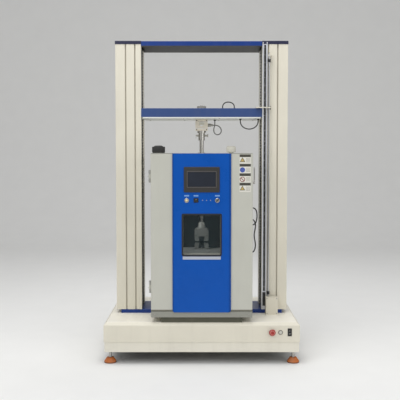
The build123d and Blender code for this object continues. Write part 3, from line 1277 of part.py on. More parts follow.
# Base controls: fixed rings and frame on the cover, and the parts that move in them.
RING_T = 3.0
RUN_R = 9.2
ESTOP_HEAD_R = 21.0
ESTOP_STEM_R = 10.8
ESTOP_OUT = 22.0
ESTOP_COLLAR_R = 15.0
front_y = -BASE_D / 2
with BuildPart() as base_bezels:
    front_disc(ESTOP_X, CONTROL_Z, front_y - RING_T, front_y, ESTOP_COLLAR_R, ESTOP_HOLE_R)
    front_disc(RUN_X, CONTROL_Z, front_y - RING_T, front_y, 16.0, RUN_R + HOLE_FIT)
    with BuildSketch(front_plane(front_y)):
        with Locations((MAINS_X, CONTROL_Z)):
            RectangleRounded(MAINS_W + 5.0, MAINS_H + 6.0, 2.0)
            Rectangle(MAINS_W - 1.0, MAINS_H - 4.0, mode=Mode.SUBTRACT)
    extrude(amount=RING_T)
save("base_cover", base_cover, base_plinth, base_bezels)
with BuildPart() as estop_button:
    with BuildSketch(Plane(origin=(ESTOP_X, 0, CONTROL_Z), x_dir=(0, -1, 0), z_dir=(0, 0, 1))):
        with BuildLine():
            out = -front_y + ESTOP_OUT
            Polyline(
                (-front_y - 16.0, 0), (-front_y - 16.0, ESTOP_STEM_R), (out - 13.0, ESTOP_STEM_R),
                (out - 11.0, ESTOP_HEAD_R - 2.0), (out - 7.0, ESTOP_HEAD_R),
            )
            RadiusArc((out - 7.0, ESTOP_HEAD_R), (out, 8.0), 17.0)
            Polyline((out, 8.0), (out, 0), (-front_y - 16.0, 0))
        make_face()
    revolve(axis=Axis((ESTOP_X, 0, CONTROL_Z), (0, 1, 0)))
save("estop_button", estop_button)
with BuildPart() as run_button:
    front_disc(RUN_X, CONTROL_Z, front_y - RING_T - PRESS - 1.0, front_y + 10.0, RUN_R)
    fillet(run_button.faces().sort_by(Axis.Y)[0].edges(), 1.2)
save("run_button", run_button)
mains_rocker = rocker_switch(MAINS_X, CONTROL_Z, front_y - RING_T + 1.0, MAINS_W - 2.0, MAINS_H - 7.0)
save("mains_rocker", mains_rocker)


def tube(points, radius):
    """A cord's tube: straight runs joined by arcs as large as the shorter run beside each allows."""
    stops = [Vector(*p) for p in points]
    radii = []
    for before, at, after in zip(stops, stops[1:], stops[2:]):
        turn = radians((at - before).get_angle(after - at))
        run = min((at - before).length, (after - at).length)
        radii.append(0.45 * run / tan(turn / 2))
    print("cord radii", [round(r) for r in radii])
    with BuildPart() as cord:
        with BuildLine() as route:
            FilletPolyline(*stops, radius=radii)
        with BuildSketch(Plane(origin=stops[0], z_dir=stops[1] - stops[0])) as section:
            Circle(radius)
        sweep(section.sketch, path=route.line)
    print("cord volume over section times length", cord.part.volume / (pi * radius**2 * route.wire().length))
    return cord


# Cables that ride on the crosshead: from the load cell, a sagging loop under it, an arch on top.
GROMMET_R = 8.0
GROMMET_H = 6.0
CABLE_R = 3.5
plate_z = HEAD_LOW - GROMMET_H
cell_route = [
    (connector_end, 0, connector_z), (92, 0, connector_z), (108, 2, 1541), (123, 6, 1533), (133, 11, 1520),
    (137, 17, 1505), (133, 23, 1491), (123, 29, 1481), (109, 34, 1478), (96, 38, 1483), (87, 41, 1494),
    (84, 43, 1509), (86, 44, 1526), (91, 45, 1541), (92, 45, 1557), (92, 45, plate_z),
]
sag_route = [
    (262, -70, plate_z), (262, -70, 1560), (267, -71, 1543), (280, -73, 1527), (300, -75, 1516),
    (324, -75, 1512), (348, -74, 1517), (367, -72, 1529), (379, -70, 1545), (383, -69, 1562),
    (383, -69, plate_z),
]
top_z = HEAD_TOP + GROMMET_H
arch_route = [
    (142, -60, top_z), (142, -60, 1668), (147, -61, 1681), (158, -63, 1691), (174, -64, 1696),
    (192, -64, 1695), (208, -63, 1689), (218, -61, 1679), (222, -60, 1667), (222, -60, top_z),
]
save("crosshead_cables", *[tube(route, CABLE_R) for route in (cell_route, sag_route, arch_route)])
with BuildPart() as head_grommets:
    for route in (cell_route, sag_route, arch_route):
        for x, y, z in (route[0], route[-1]):
            if z == plate_z:
                disc(x, y, plate_z, HEAD_LOW, GROMMET_R)
            if z == top_z:
                disc(x, y, HEAD_TOP, top_z, GROMMET_R)
save("crosshead", crosshead, crosshead_plate, head_grommets)

# Cables that loop out of the chamber's right side and back in.
SIDE_CABLE_R = 4.0
GLAND_R = 9.0
GLAND_L = 10.0
gland_x = HALF_W + GLAND_L
upper_loop = [
    (gland_x, -170, 985), (345, -170, 985), (357, -169, 979), (366, -168, 966), (370, -166, 948),
    (371, -164, 926), (369, -163, 904), (363, -163, 886), (353, -164, 874), (342, -165, 870),
    (gland_x, -165, 870),
]
lower_loop = [
    (gland_x, -125, 905), (343, -125, 905), (353, -126, 897), (360, -127, 884), (364, -129, 866),
    (362, -131, 844), (357, -132, 822), (354, -131, 798), (357, -129, 774), (362, -127, 750),
    (364, -125, 726), (361, -124, 704), (354, -124, 688), (344, -125, 680), (gland_x, -125, 680),
]
save("chamber_cables", *[tube(route, SIDE_CABLE_R) for route in (upper_loop, lower_loop)])
with BuildPart() as side_glands:
    for route in (upper_loop, lower_loop):
        for x, y, z in (route[0], route[-1]):
            with BuildSketch(Plane.YZ.offset(HALF_W)):
                with Locations((y, z)):
                    Circle(GLAND_R)
            extrude(amount=GLAND_L)
save("chamber_casing", casing_sides, casing_top, casing_bottom, casing_rear, kick_panel, side_glands)
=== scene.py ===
"""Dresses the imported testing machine: camera, light, cords, finishes and small parts.

Metres, in the frame's own axes: +X right, +Y back, +Z up, with the origin on the floor
midway between the columns, under the load axis.
"""

import logging
import math
from dataclasses import dataclass, replace
from enum import Enum

import bmesh
import bpy
import numpy as np
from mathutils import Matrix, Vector


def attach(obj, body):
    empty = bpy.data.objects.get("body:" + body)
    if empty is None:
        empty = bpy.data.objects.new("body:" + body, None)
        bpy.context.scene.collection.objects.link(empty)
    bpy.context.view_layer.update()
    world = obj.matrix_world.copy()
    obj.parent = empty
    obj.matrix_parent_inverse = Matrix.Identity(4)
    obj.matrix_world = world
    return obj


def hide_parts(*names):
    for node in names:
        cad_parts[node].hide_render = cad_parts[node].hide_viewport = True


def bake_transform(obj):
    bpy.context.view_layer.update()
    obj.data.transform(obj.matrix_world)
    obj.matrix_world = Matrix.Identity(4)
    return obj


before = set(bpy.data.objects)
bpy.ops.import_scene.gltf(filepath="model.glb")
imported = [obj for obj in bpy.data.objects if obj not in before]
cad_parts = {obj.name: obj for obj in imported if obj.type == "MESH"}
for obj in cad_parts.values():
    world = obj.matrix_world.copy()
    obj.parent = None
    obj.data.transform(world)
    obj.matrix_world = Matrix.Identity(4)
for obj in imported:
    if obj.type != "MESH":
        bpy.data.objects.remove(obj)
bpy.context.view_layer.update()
log = logging.getLogger("testing_machine")

MM = 0.001
# Widths of a finish's drifting tone and of its dust streaks, which are drawn out upright.
CLOUD_SIZE = 0.22
STREAK_SIZE = 0.05
STREAK_STRETCH = (1.0, 1.0, 0.12)
COAT_ROUGHNESS = 0.12
# Edges past this angle stay sharp, and points nearer than the merge distance become one.
SHARP_ANGLE = math.radians(35)
MERGE_DISTANCE = 1e-6
# A plate, a ring and a fluted sleeve have this many rings, and a rounded rectangle this many points.
RINGS = 6
OUTLINE = 24
# The least corner radius of a plate and of a ring, and the share of a plate's width that its last ring is drawn in.
LEAST_CORNER = 1e-5
RING_CORNER = 0.0006
CROWN_INSET = 0.3
# A ring's section, from its outer foot to its inner one: the share of the way inwards, and of the height.
RING_SECTION = ((0.0, 0.0), (0.0, 0.7), (0.2, 1.0), (0.8, 1.0), (1.0, 0.7), (1.0, 0.0))
Point = tuple[float, float, float]
Pair = tuple[float, float]
Places = list | tuple | np.ndarray
Socket = bpy.types.NodeSocket


def srgb(red: float, green: float, blue: float) -> Point:
    """Turns a colour as seen into the shader's linear one, by the sRGB curve.

    Args:
        red: its red, 0 to 255.
        green: its green, 0 to 255.
        blue: its blue, 0 to 255.

    Returns:
        Red, green and blue from 0 to 1.
    """
    seen = np.array([red, green, blue]) / 255
    low = seen / 12.92
    high = ((seen + 0.055) / 1.055) ** 2.4
    return tuple(float(c) for c in np.where(seen <= 0.04045, low, high))


class Grain(Enum):
    """How a finish's fine relief lies: evenly, drawn out along one axis, or round the load axis."""

    EVEN = (1.0, 1.0, 1.0)
    ALONG_X = (0.02, 1.0, 1.0)
    UPRIGHT = (1.0, 1.0, 0.02)
    TURNED = (1.0, 0.0, 1.0)


class Graph:
    """One material's node tree, with short calls that add and join its nodes."""

    def __init__(self, name: str) -> None:
        """Starts a material with its shader.

        Args:
            name: the material's name.
        """
        self.material = bpy.data.materials.new(name)
        self.material.use_nodes = True
        self.tree = self.material.node_tree
        self.shader = next(n for n in self.tree.nodes if n.type == "BSDF_PRINCIPLED")
        self.coordinates = self.tree.nodes.new("ShaderNodeTexCoord")
        self.place = self.coordinates.outputs["Object"]

    def add(self, kind: str, inputs: dict | None = None, **settings: object) -> bpy.types.Node:
        """Adds a node, sets its settings, and sets or joins its inputs.

        Args:
            kind: Blender's node type.
            inputs: values or sockets by input name or number.
            settings: the node's own properties.

        Returns:
            The new node.
        """
        node = self.tree.nodes.new(kind)
        for key, value in settings.items():
            setattr(node, key, value)
        for key, value in (inputs or {}).items():
            self.put(node.inputs[key], value)
        return node

    def put(self, entry: Socket, value: object) -> None:
        """Joins a socket to an input, or sets the input's own value.

        Args:
            entry: the input.
            value: a socket or a plain value.
        """
        if isinstance(value, Socket):
            self.tree.links.new(value, entry)
        else:
            entry.default_value = value

    def math(self, operation: str, a: object, b: object = 0.0) -> Socket:
        """Returns the result of one sum on two values."""
        return self.add("ShaderNodeMath", {0: a, 1: b}, operation=operation).outputs[0]

    def vector(self, operation: str, a: object, b: object = (0.0, 0.0, 0.0)) -> Socket:
        """Returns the result of one sum on two vectors."""
        return self.add("ShaderNodeVectorMath", {0: a, 1: b}, operation=operation).outputs[0]

    def parts(self, value: Socket) -> tuple[Socket, Socket, Socket]:
        """Returns a vector's X, Y and Z."""
        outputs = self.add("ShaderNodeSeparateXYZ", {0: value}).outputs
        return outputs[0], outputs[1], outputs[2]

    def joined(self, x: object, y: object, z: object) -> Socket:
        """Returns a vector made of three values."""
        return self.add("ShaderNodeCombineXYZ", {0: x, 1: y, 2: z}).outputs[0]

    def noise(self, size: float, detail: float = 2.0, stretch: Point = (1, 1, 1), of: Socket | None = None) -> Socket:
        """Returns cloudy noise from 0 to 1 whose clouds are about one size across.

        Args:
            size: a cloud's width, in metres.
            detail: how many finer layers it has.
            stretch: a share of the pace along each axis; small draws the clouds out.
            of: the coordinates it reads, or None for the object's own.
        """
        scaled = self.vector("MULTIPLY", of or self.place, tuple(s / size for s in stretch))
        return self.add("ShaderNodeTexNoise", {"Vector": scaled, "Scale": 1.0, "Detail": detail}).outputs[0]

    def ranged(self, value: Socket, low: float, high: float, start: float = 0.3, end: float = 0.7) -> Socket:
        """Returns a value spread from start..end to low..high, and held at both ends."""
        inputs = {"Value": value, "From Min": start, "From Max": end, "To Min": low, "To Max": high}
        return self.add("ShaderNodeMapRange", inputs).outputs[0]

    def mix_colour(self, share: object, a: object, b: object) -> Socket:
        """Returns colour a where share is 0 and colour b where it is 1."""
        pair = [c if isinstance(c, Socket) else (*c, 1.0) for c in (a, b)]
        return self.add("ShaderNodeMix", {0: share, 6: pair[0], 7: pair[1]}, data_type="RGBA").outputs[2]

    def mix(self, share: object, a: object, b: object) -> Socket:
        """Returns value a where share is 0 and value b where it is 1."""
        return self.add("ShaderNodeMix", {0: share, 2: a, 3: b}).outputs[0]

    def inside(self, low: Point, high: Point) -> Socket:
        """Tells the inside of a box: there the largest part of |place - centre| - half is below 0.

        Args:
            low: the box's lowest corner.
            high: its highest corner.

        Returns:
            1 inside the box and 0 outside it.
        """
        centre = tuple((a + b) / 2 for a, b in zip(low, high))
        half = tuple((b - a) / 2 for a, b in zip(low, high))
        away = self.vector("SUBTRACT", self.vector("ABSOLUTE", self.vector("SUBTRACT", self.place, centre)), half)
        x, y, z = self.parts(away)
        return self.math("LESS_THAN", self.math("MAXIMUM", self.math("MAXIMUM", x, y), z), 0.0)


@dataclass(frozen=True)
class Layer:
    """What one finish gives the shader: its colour, roughness and metal, and its height in metres."""

    colour: Socket
    roughness: Socket
    metallic: float | Socket
    height: Socket


@dataclass(frozen=True)
class Finish:
    """A surface's colour, gloss, fine relief and wear, with the record's slot it belongs to."""

    name: str
    slot: str
    colour: Point
    roughness: float = 0.45
    metallic: float = 0.0
    grain: Grain = Grain.EVEN
    grain_size: float = 0.0015
    relief: float = 0.00002
    tone: float = 0.05
    spread: float = 0.06
    coat: float = 0.0
    dust: float = 0.0
    dust_colour: Point = srgb(150, 142, 128)
    shine: float = 0.5
    alpha: float = 1.0

    def variant(self, name: str, colour: Point, **changes: float) -> "Finish":
        """Returns this finish with another name and colour, and any other changes."""
        return replace(self, name=name, colour=colour, **changes)

    def marks(self, graph: Graph, colour: Socket, height: Socket) -> tuple[Socket, Socket]:
        """Returns the colour and height with a finish's own pattern; a plain one has none."""
        return colour, height

    def layer(self, graph: Graph) -> Layer:
        """Builds the finish's nodes: drifting tone, drawn grain, streaked dust and uneven gloss.

        Args:
            graph: the material that gets them.

        Returns:
            The finish's four results.
        """
        place = graph.place
        if self.grain is Grain.TURNED:
            x, y, z = graph.parts(place)
            radius = graph.math("SQRT", graph.math("ADD", graph.math("MULTIPLY", x, x), graph.math("MULTIPLY", y, y)))
            place = graph.joined(radius, 0.0, z)
        cloud = graph.noise(CLOUD_SIZE, 4.0)
        fine = graph.noise(self.grain_size, 2.0, self.grain.value, place)
        light = tuple(min(1.0, c * (1 + self.tone)) for c in self.colour)
        dark = tuple(c * (1 - self.tone) for c in self.colour)
        colour = graph.mix_colour(graph.ranged(cloud, 0.0, 1.0), dark, light)
        if self.dust:
            streak = graph.noise(STREAK_SIZE, 5.0, STREAK_STRETCH)
            colour = graph.mix_colour(graph.ranged(streak, 0.0, self.dust, 0.5, 0.75), colour, self.dust_colour)
        rough = graph.math(
            "ADD",
            graph.ranged(cloud, self.roughness - self.spread, self.roughness + self.spread),
            graph.ranged(fine, -self.spread / 2, self.spread / 2),
        )
        height = graph.math("MULTIPLY", fine, self.relief)
        colour, height = self.marks(graph, colour, height)
        return Layer(colour, rough, self.metallic, height)

    def settle(self, graph: Graph, layer: Layer) -> bpy.types.Material:
        """Joins a layer to the shader and sets what is the same all over.

        Args:
            graph: the material that gets it.
            layer: the colour, roughness, metal and height to join.

        Returns:
            The material.
        """
        bump = graph.add("ShaderNodeBump", {"Strength": 1.0, "Distance": 1.0, "Height": layer.height})
        inputs = {
            "Base Color": layer.colour, "Roughness": layer.roughness, "Metallic": layer.metallic,
            "Normal": bump.outputs[0], "Coat Weight": self.coat, "Coat Roughness": COAT_ROUGHNESS,
            "Specular IOR Level": self.shine, "Alpha": self.alpha,
        }
        for key, value in inputs.items():
            graph.put(graph.shader.inputs[key], value)
        return graph.material

    def material(self) -> bpy.types.Material:
        """Makes the finish's material the first time it is asked for.

        Returns:
            The material.
        """
        if self.name not in bpy.data.materials:
            graph = Graph(self.name)
            self.settle(graph, self.layer(graph))
        return bpy.data.materials[self.name]


@dataclass(frozen=True)
class ScaleFinish(Finish):
    """A black strip with pale ruled lines: each rule's pitch, its length from the left edge and its width."""

    left: float = 0.0
    rules: tuple[Point, ...] = ((0.002, 0.005, 0.0005), (0.010, 0.009, 0.0009), (0.050, 0.014, 0.0016))
    rule_colour: Point = srgb(205, 205, 200)

    def marks(self, graph: Graph, colour: Socket, height: Socket) -> tuple[Socket, Socket]:
        """Rules lines where the height's remainder by a pitch is under the line's width.

        Args:
            graph: the material that gets them.
            colour: the strip's own colour.
            height: its own relief.

        Returns:
            The colour with the lines, and the same height.
        """
        x, _, z = graph.parts(graph.place)
        along = graph.math("SUBTRACT", x, self.left)
        drawn = 0.0
        for pitch, reach, width in self.rules:
            line = graph.math("LESS_THAN", graph.math("MODULO", z, pitch), width)
            short = graph.math("MULTIPLY", line, graph.math("LESS_THAN", along, reach))
            drawn = graph.math("MAXIMUM", short, drawn)
        return graph.mix_colour(drawn, colour, self.rule_colour), height


@dataclass(frozen=True)
class ClothFinish(Finish):
    """A coated woven cloth: two crossed sets of threads on the piece's own UV map, in metres; its fold crests are paled
    with dust and a painted sheen.
    """

    thread: float = 0.0009
    weave: float = 0.00005
    dust_and_sheen_size: float = 0.012
    # Fold crests are paled towards this colour: partly dust, partly a painted sheen.
    crest_dust_and_sheen_colour: Point = srgb(70, 70, 72)

    def marks(self, graph: Graph, colour: Socket, height: Socket) -> tuple[Socket, Socket]:
        """Weaves the cloth as the product of two sines, and pales its fold crests with rubbed dust and a painted sheen.

        Args:
            graph: the material that gets the weave.
            colour: the cloth's own colour.
            height: its own relief.

        Returns:
            The colour with the dusty crests and their painted sheen, and the height with the weave.
        """
        across, along, _ = graph.parts(graph.coordinates.outputs["UV"])
        turn = 2 * math.pi / self.thread
        warp, weft = (graph.math("SINE", graph.math("MULTIPLY", way, turn)) for way in (across, along))
        weave = graph.math("MULTIPLY", graph.math("MULTIPLY", warp, weft), self.weave)
        fold = graph.add("ShaderNodeAttribute", attribute_name="fold_dust_and_sheen").outputs["Fac"]
        crest_dust_and_sheen = graph.math("MULTIPLY", fold, graph.ranged(graph.noise(self.dust_and_sheen_size, 3.0), 0.2, 0.9))
        return graph.mix_colour(crest_dust_and_sheen, colour, self.crest_dust_and_sheen_colour), graph.math("ADD", height, weave)


CREAM = Finish("cream_powder_coat", "cream_paint", srgb(224, 219, 203), 0.42, relief=0.00003, tone=0.03, dust=0.08)
# Painted light: the plinth band gets a lighter cream than the cover above it, to make up for the dimmer light low on
# the base.
LIT_PLINTH_CREAM = Finish("plinth_painted_light", "cream_paint", srgb(228, 224, 210), 0.5, tone=0.04, dust=0.12)
BLUE = Finish("beam_blue_enamel", "blue_paint", srgb(24, 58, 130), 0.36, tone=0.06, shine=0.3, dust=0.05)
HEAD_BLUE = BLUE.variant("crosshead_blue_paint", srgb(58, 80, 130))
GREY = Finish("chamber_grey_paint", "grey_paint", srgb(192, 192, 182), 0.44, relief=0.00003, tone=0.025, dust=0.06)
FASCIA = Finish("fascia_blue_acrylic", "fascia_blue", srgb(0, 80, 172), 0.3, grain_size=0.004, tone=0.04, shine=0.22)
NAVY = Finish("cap_navy_plastic", "navy_cap", srgb(24, 28, 62), 0.5, relief=0.00004)
DARK_STEEL = Finish("blacked_steel", "dark_steel", srgb(58, 58, 60), 0.5, 0.7, tone=0.12, spread=0.1, dust=0.2)
# Painted light: the base's top face gets a lighter cream than the rest of the cover, for the light that falls on it
# from above.
LIT_TOP_CREAM = CREAM.variant("base_top_painted_light", srgb(246, 242, 230), dust=0.05)
# Painted shade: the plinth under the chamber is a dark grey, for the shade that falls beneath the chamber.
SHADED_SKIRT_GREY = Finish("skirt_painted_shade", "cream_paint", srgb(78, 78, 64), 0.6, tone=0.1, dust=0.1)
# Painted shade: the kick panel is the casing's grey made darker, for the shade low on the chamber.
SHADED_KICK_GREY = Finish("kick_grey_painted_shade", "grey_paint", srgb(146, 146, 137), 0.48, relief=0.00003, tone=0.03, dust=0.1)
BEAM_UNDER = Finish("beam_grey_underside", "dark_steel", srgb(66, 66, 64), 0.6, tone=0.06)
FRAME_STEEL = Finish("primed_frame_tube", "bare_frame", srgb(120, 122, 120), 0.55, 0.2, tone=0.1, dust=0.25)
STEEL = Finish("machined_steel", "steel", srgb(178, 176, 172), 0.32, 1.0, Grain.ALONG_X, 0.0006, 0.00001, tone=0.08)
TURNED_STEEL = Finish("turned_steel", "steel", srgb(196, 194, 188), 0.26, 1.0, Grain.TURNED, 0.0008, 0.00001, 0.06)
CHROME = Finish(
    "hard_chrome", "hard_chrome", srgb(186, 187, 190), 0.16, 1.0, Grain.UPRIGHT, 0.001, 0.000004, 0.03, 0.04
)
STAINLESS = Finish(
    "brushed_stainless", "stainless", srgb(188, 188, 184), 0.3, 1.0, Grain.ALONG_X, 0.0008, 0.000012, 0.06, 0.08
)
# Painted shade: a darkened stainless for the back of the chamber, standing for the shade inside it.
SHADED_STAINLESS = Finish(
    "shaded_stainless", "stainless", srgb(52, 56, 58), 0.34, 1.0, Grain.ALONG_X, 0.0008, 0.00001, 0.12
)
FLOOR_STAINLESS = SHADED_STAINLESS.variant(
    "floor_stainless", srgb(206, 210, 206), roughness=0.38, metallic=0.35, tone=0.06
)
GRIP_STEEL = Finish("grip_steel", "steel", srgb(176, 178, 172), 0.42, 0.55, Grain.ALONG_X, 0.0007, 0.00001, tone=0.07)
DRAWN_STAINLESS = Finish(
    "drawn_stainless", "stainless", srgb(186, 192, 204), 0.34, 0.7, Grain.UPRIGHT, 0.0008, 0.00001
)
CELL = Finish("cell_nickel", "cream_cell", srgb(244, 236, 222), 0.34, 0.15, Grain.ALONG_X, 0.001, tone=0.04)
ALLOY = Finish("anodised_alloy", "alloy", srgb(176, 178, 184), 0.36, 0.9, Grain.UPRIGHT, 0.0009, 0.00001, tone=0.05)
FOOT = Finish("foot_moulded_rubber", "foot_rubber", srgb(196, 108, 46), 0.62, relief=0.00008, tone=0.12, dust=0.35)
CHANNEL_ALLOY = ALLOY.variant("channel_alloy", srgb(224, 226, 232), roughness=0.4, metallic=0.5)
RUBBER = Finish("black_rubber", "black_rubber", srgb(30, 30, 31), 0.72, grain_size=0.0008, relief=0.00006, dust=0.18)
GASKET = Finish("silicone_gasket", "black_rubber", srgb(52, 52, 54), 0.6, grain_size=0.001, relief=0.00004)
PLASTIC = Finish("black_moulded_plastic", "black_plastic", srgb(26, 26, 28), 0.4, grain_size=0.0007, relief=0.00003)
# Partly painted light: a pale plate under the crosshead, painted near white for the light that the floor throws up onto
# it.
PALE_AND_LIT_UNDERSIDE = Finish("crosshead_under_paint", "blue_paint", srgb(226, 227, 222), 0.4, tone=0.03, dust=0.06)
PALE_PLASTIC = Finish("pale_moulded_plastic", "grey_plastic", srgb(206, 204, 194), 0.48, relief=0.00003)
PINK = Finish("stop_pale_print", "red_plastic", srgb(222, 150, 138), 0.35, relief=0.0, tone=0.03)
RED = Finish("red_moulded_plastic", "red_plastic", srgb(160, 30, 26), 0.34, relief=0.00002, coat=0.3)
WOOL = Finish("mineral_wool", "wool", srgb(176, 158, 112), 0.9, grain_size=0.004, relief=0.0012, tone=0.2)
MOTOR = Finish("motor_black_enamel", "motor_black", srgb(34, 34, 36), 0.45, relief=0.00005, dust=0.2)
BRONZE = Finish("bearing_bronze", "bronze", srgb(176, 128, 70), 0.34, 0.95, Grain.TURNED, 0.0009, 0.00001)
GLASS = Finish(
    "door_glass", "clear_glass", srgb(60, 74, 78), 0.05,
    grain_size=0.02, relief=0.0, tone=0.02, spread=0.02, alpha=0.1,
)
SCREEN = Finish(
    "screen_glass", "black_plastic", srgb(30, 36, 48), 0.12,
    grain_size=0.02, relief=0.0, tone=0.25, spread=0.05, coat=0.5,
)
SCREEN_BEZEL = Finish("screen_bezel", "black_plastic", srgb(48, 46, 44), 0.42, relief=0.00003)
SCALE = ScaleFinish("ruled_scale", "black_plastic", srgb(20, 20, 21), 0.4, left=0.41)
BELLOWS_CLOTH = ClothFinish("bellows_cloth", "pleat_cloth", srgb(24, 24, 26), 0.66, tone=0.15, dust=0.12)
LABEL_WHITE = Finish("label_white_film", "grey_plastic", srgb(222, 220, 210), 0.35, relief=0.0, tone=0.02)
LABEL_DARK = Finish("label_dark_film", "black_plastic", srgb(70, 68, 60), 0.35, relief=0.0, tone=0.04)
LABEL_YELLOW = LABEL_WHITE.variant("label_yellow_film", srgb(190, 166, 100), tone=0.03)
LABEL_BLUE = LABEL_WHITE.variant("label_blue_film", srgb(72, 92, 168), tone=0.04)
LABEL_RED = Finish("label_red_film", "red_plastic", srgb(128, 52, 50), 0.35, relief=0.0, tone=0.04)
LABEL_GREY = LABEL_WHITE.variant("label_grey_film", srgb(138, 135, 126), roughness=0.4, tone=0.03)
SCREEN_RIM = Finish("screen_rim_film", "black_plastic", srgb(86, 84, 84), 0.35, relief=0.0)
# Painted shadow: a dark strip under the door that stands for the shadow in the gap between the door and the kick panel.
GAP_SHADOW = Finish("door_gap_painted_shadow", "black_rubber", srgb(112, 110, 98), 0.6, relief=0.00004)
LENS_AMBER = Finish("amber_lens", "grey_plastic", srgb(226, 204, 150), 0.18, relief=0.0, coat=0.6)
WARM_GLASS = LENS_AMBER.variant("warm_lamp_glass", srgb(206, 186, 132), roughness=0.14)
# Painted shade: a darker blue for the fascia's rolled edges, standing for the shade where they turn away from the
# light.
FASCIA_EDGE_SHADE = FASCIA.variant("fascia_edge_painted_shade", srgb(0, 68, 148))
FASCIA_PALE = Finish("fascia_pale_print", "fascia_blue", srgb(120, 160, 214), 0.3, relief=0.0, tone=0.03)
CABLE_BLACK = Finish("cable_sheath", "black_rubber", srgb(24, 24, 25), 0.42, grain_size=0.002, relief=0.00003)
CABLE_GREY = Finish("cable_grey_sheath", "grey_plastic", srgb(120, 120, 118), 0.42, grain_size=0.002, relief=0.00003)


@dataclass(frozen=True)
class Zone:
    """A box of a CAD node, by its lowest and highest corner, with a finish of its own."""

    low: Point
    high: Point
    finish: Finish


def dress(node: str, finish: Finish, *zones: Zone) -> None:
    """Gives a CAD node its finish, and other finishes inside the zones.

    Args:
        node: the CAD node.
        finish: what it has outside every zone.
        zones: boxes with finishes of their own.
    """
    material = finish.material()
    if zones:
        graph = Graph(f"{finish.name}_on_{node}")
        whole = finish.layer(graph)
        for zone in zones:
            part, share = zone.finish.layer(graph), graph.inside(zone.low, zone.high)
            whole = Layer(
                graph.mix_colour(share, whole.colour, part.colour),
                graph.mix(share, whole.roughness, part.roughness),
                graph.mix(share, whole.metallic, part.metallic),
                graph.mix(share, whole.height, part.height),
            )
        material = finish.settle(graph, whole)
    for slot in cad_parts[node].material_slots:
        slot.material = material


def link(name: str, data: bpy.types.ID) -> bpy.types.Object:
    """Puts an object into the scene.

    Args:
        name: its name.
        data: its mesh, curve, light or camera.

    Returns:
        The new object.
    """
    thing = bpy.data.objects.new(name, data)
    bpy.context.scene.collection.objects.link(thing)
    return thing


def smooth_mesh(name: str, points: np.ndarray, faces: list, finish: Finish) -> bpy.types.Mesh:
    """Makes a mesh that is shaded smooth and has a finish.

    Args:
        name: the mesh's name.
        points: array (n, 3) in the row frame.
        faces: rows of point numbers.
        finish: its finish.

    Returns:
        The new mesh.
    """
    mesh = bpy.data.meshes.new(name)
    mesh.from_pydata(points.tolist(), [], faces)
    mesh.polygons.foreach_set("use_smooth", np.ones(len(faces), bool))
    mesh.materials.append(finish.material())
    return mesh


def place(name: str, points: np.ndarray, faces: list, body: str, finish: Finish) -> bpy.types.Object:
    """Makes one piece from points and faces, puts it on a body, and keeps its sharp edges.

    Args:
        name: the piece's name.
        points: array (n, 3) in the row frame.
        faces: rows of point numbers.
        body: the CAD body it rides.
        finish: its finish.

    Returns:
        The new object.
    """
    mesh = smooth_mesh(name, points, faces, finish)
    shell = bmesh.new()
    shell.from_mesh(mesh)
    bmesh.ops.remove_doubles(shell, verts=shell.verts, dist=MERGE_DISTANCE)
    bmesh.ops.recalc_face_normals(shell, faces=shell.faces)
    shell.to_mesh(mesh)
    shell.free()
    mesh.set_sharp_from_angle(angle=SHARP_ANGLE)
    piece = link(name, mesh)
    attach(piece, body)
    log.info("%s: %d faces on %s", name, len(mesh.polygons), body)
    return piece


def ring_faces(rows: int, around: int, closed: bool = False) -> list:
    """Returns the faces that join a stack of rings, with a face over each end or closed to a hoop.

    Args:
        rows: how many rings there are.
        around: how many points each has.
        closed: joins the last ring to the first, in place of the two end faces.

    Returns:
        Rows of point numbers: point j of ring i joins j + 1 and ring i + 1.
    """
    at = np.arange(rows * around).reshape(rows, around)
    ahead = np.roll(at, -1, axis=1)
    sides = np.stack([at, ahead, np.roll(ahead, -1, axis=0), np.roll(at, -1, axis=0)], axis=-1)
    if closed:
        return sides.reshape(-1, 4).tolist()
    return [*sides[:-1].reshape(-1, 4).tolist(), at[0][::-1].tolist(), at[-1].tolist()]


def rounded_outline(width: float, height: float, radius: float) -> np.ndarray:
    """Returns a rounded rectangle's outline: four quarter circles about its inset corners.

    Args:
        width: its full width.
        height: its full height.
        radius: its corners' radius.

    Returns:
        Points (OUTLINE, 2).
    """
    turn = np.linspace(0, np.pi / 2, OUTLINE // 4) + np.arange(4)[:, None] * np.pi / 2
    corner = np.array([(1, 1), (-1, 1), (-1, -1), (1, -1)]) * (width / 2 - radius, height / 2 - radius)
    x = corner[:, :1] + radius * np.cos(turn)
    y = corner[:, 1:] + radius * np.sin(turn)
    return np.stack([x, y], axis=-1).reshape(-1, 2)


def grid(xs: tuple[float, ...], ys: tuple[float, ...], zs: tuple[float, ...]) -> np.ndarray:
    """Returns every place whose coordinates are taken from the three lists."""
    return np.stack(np.meshgrid(xs, ys, zs, indexing="ij"), axis=-1).reshape(-1, 3)


def bead(radius: float, thick: float, level: float = 0.0, steps: int = 10) -> list[Pair]:
    """Returns a round bead's closed profile: radius + thick cos t, level + thick sin t.

    Args:
        radius: from the axis to the bead's middle.
        thick: the bead's own radius.
        level: its middle's height.
        steps: points round the bead.

    Returns:
        Radius and height of each ring.
    """
    turn = np.linspace(0, 2 * np.pi, steps, endpoint=False)
    return list(zip(radius + thick * np.cos(turn), level + thick * np.sin(turn)))


class Facing(Enum):
    """Which way a part's show side looks, as the axes of its width, its height and its face."""

    FRONT = ((1, 0, 0), (0, 0, 1), (0, -1, 0))
    BACK = ((-1, 0, 0), (0, 0, 1), (0, 1, 0))
    LEFT = ((0, -1, 0), (0, 0, 1), (-1, 0, 0))
    RIGHT = ((0, 1, 0), (0, 0, 1), (1, 0, 0))
    UP = ((1, 0, 0), (0, 1, 0), (0, 0, 1))
    DOWN = ((1, 0, 0), (0, -1, 0), (0, 0, -1))


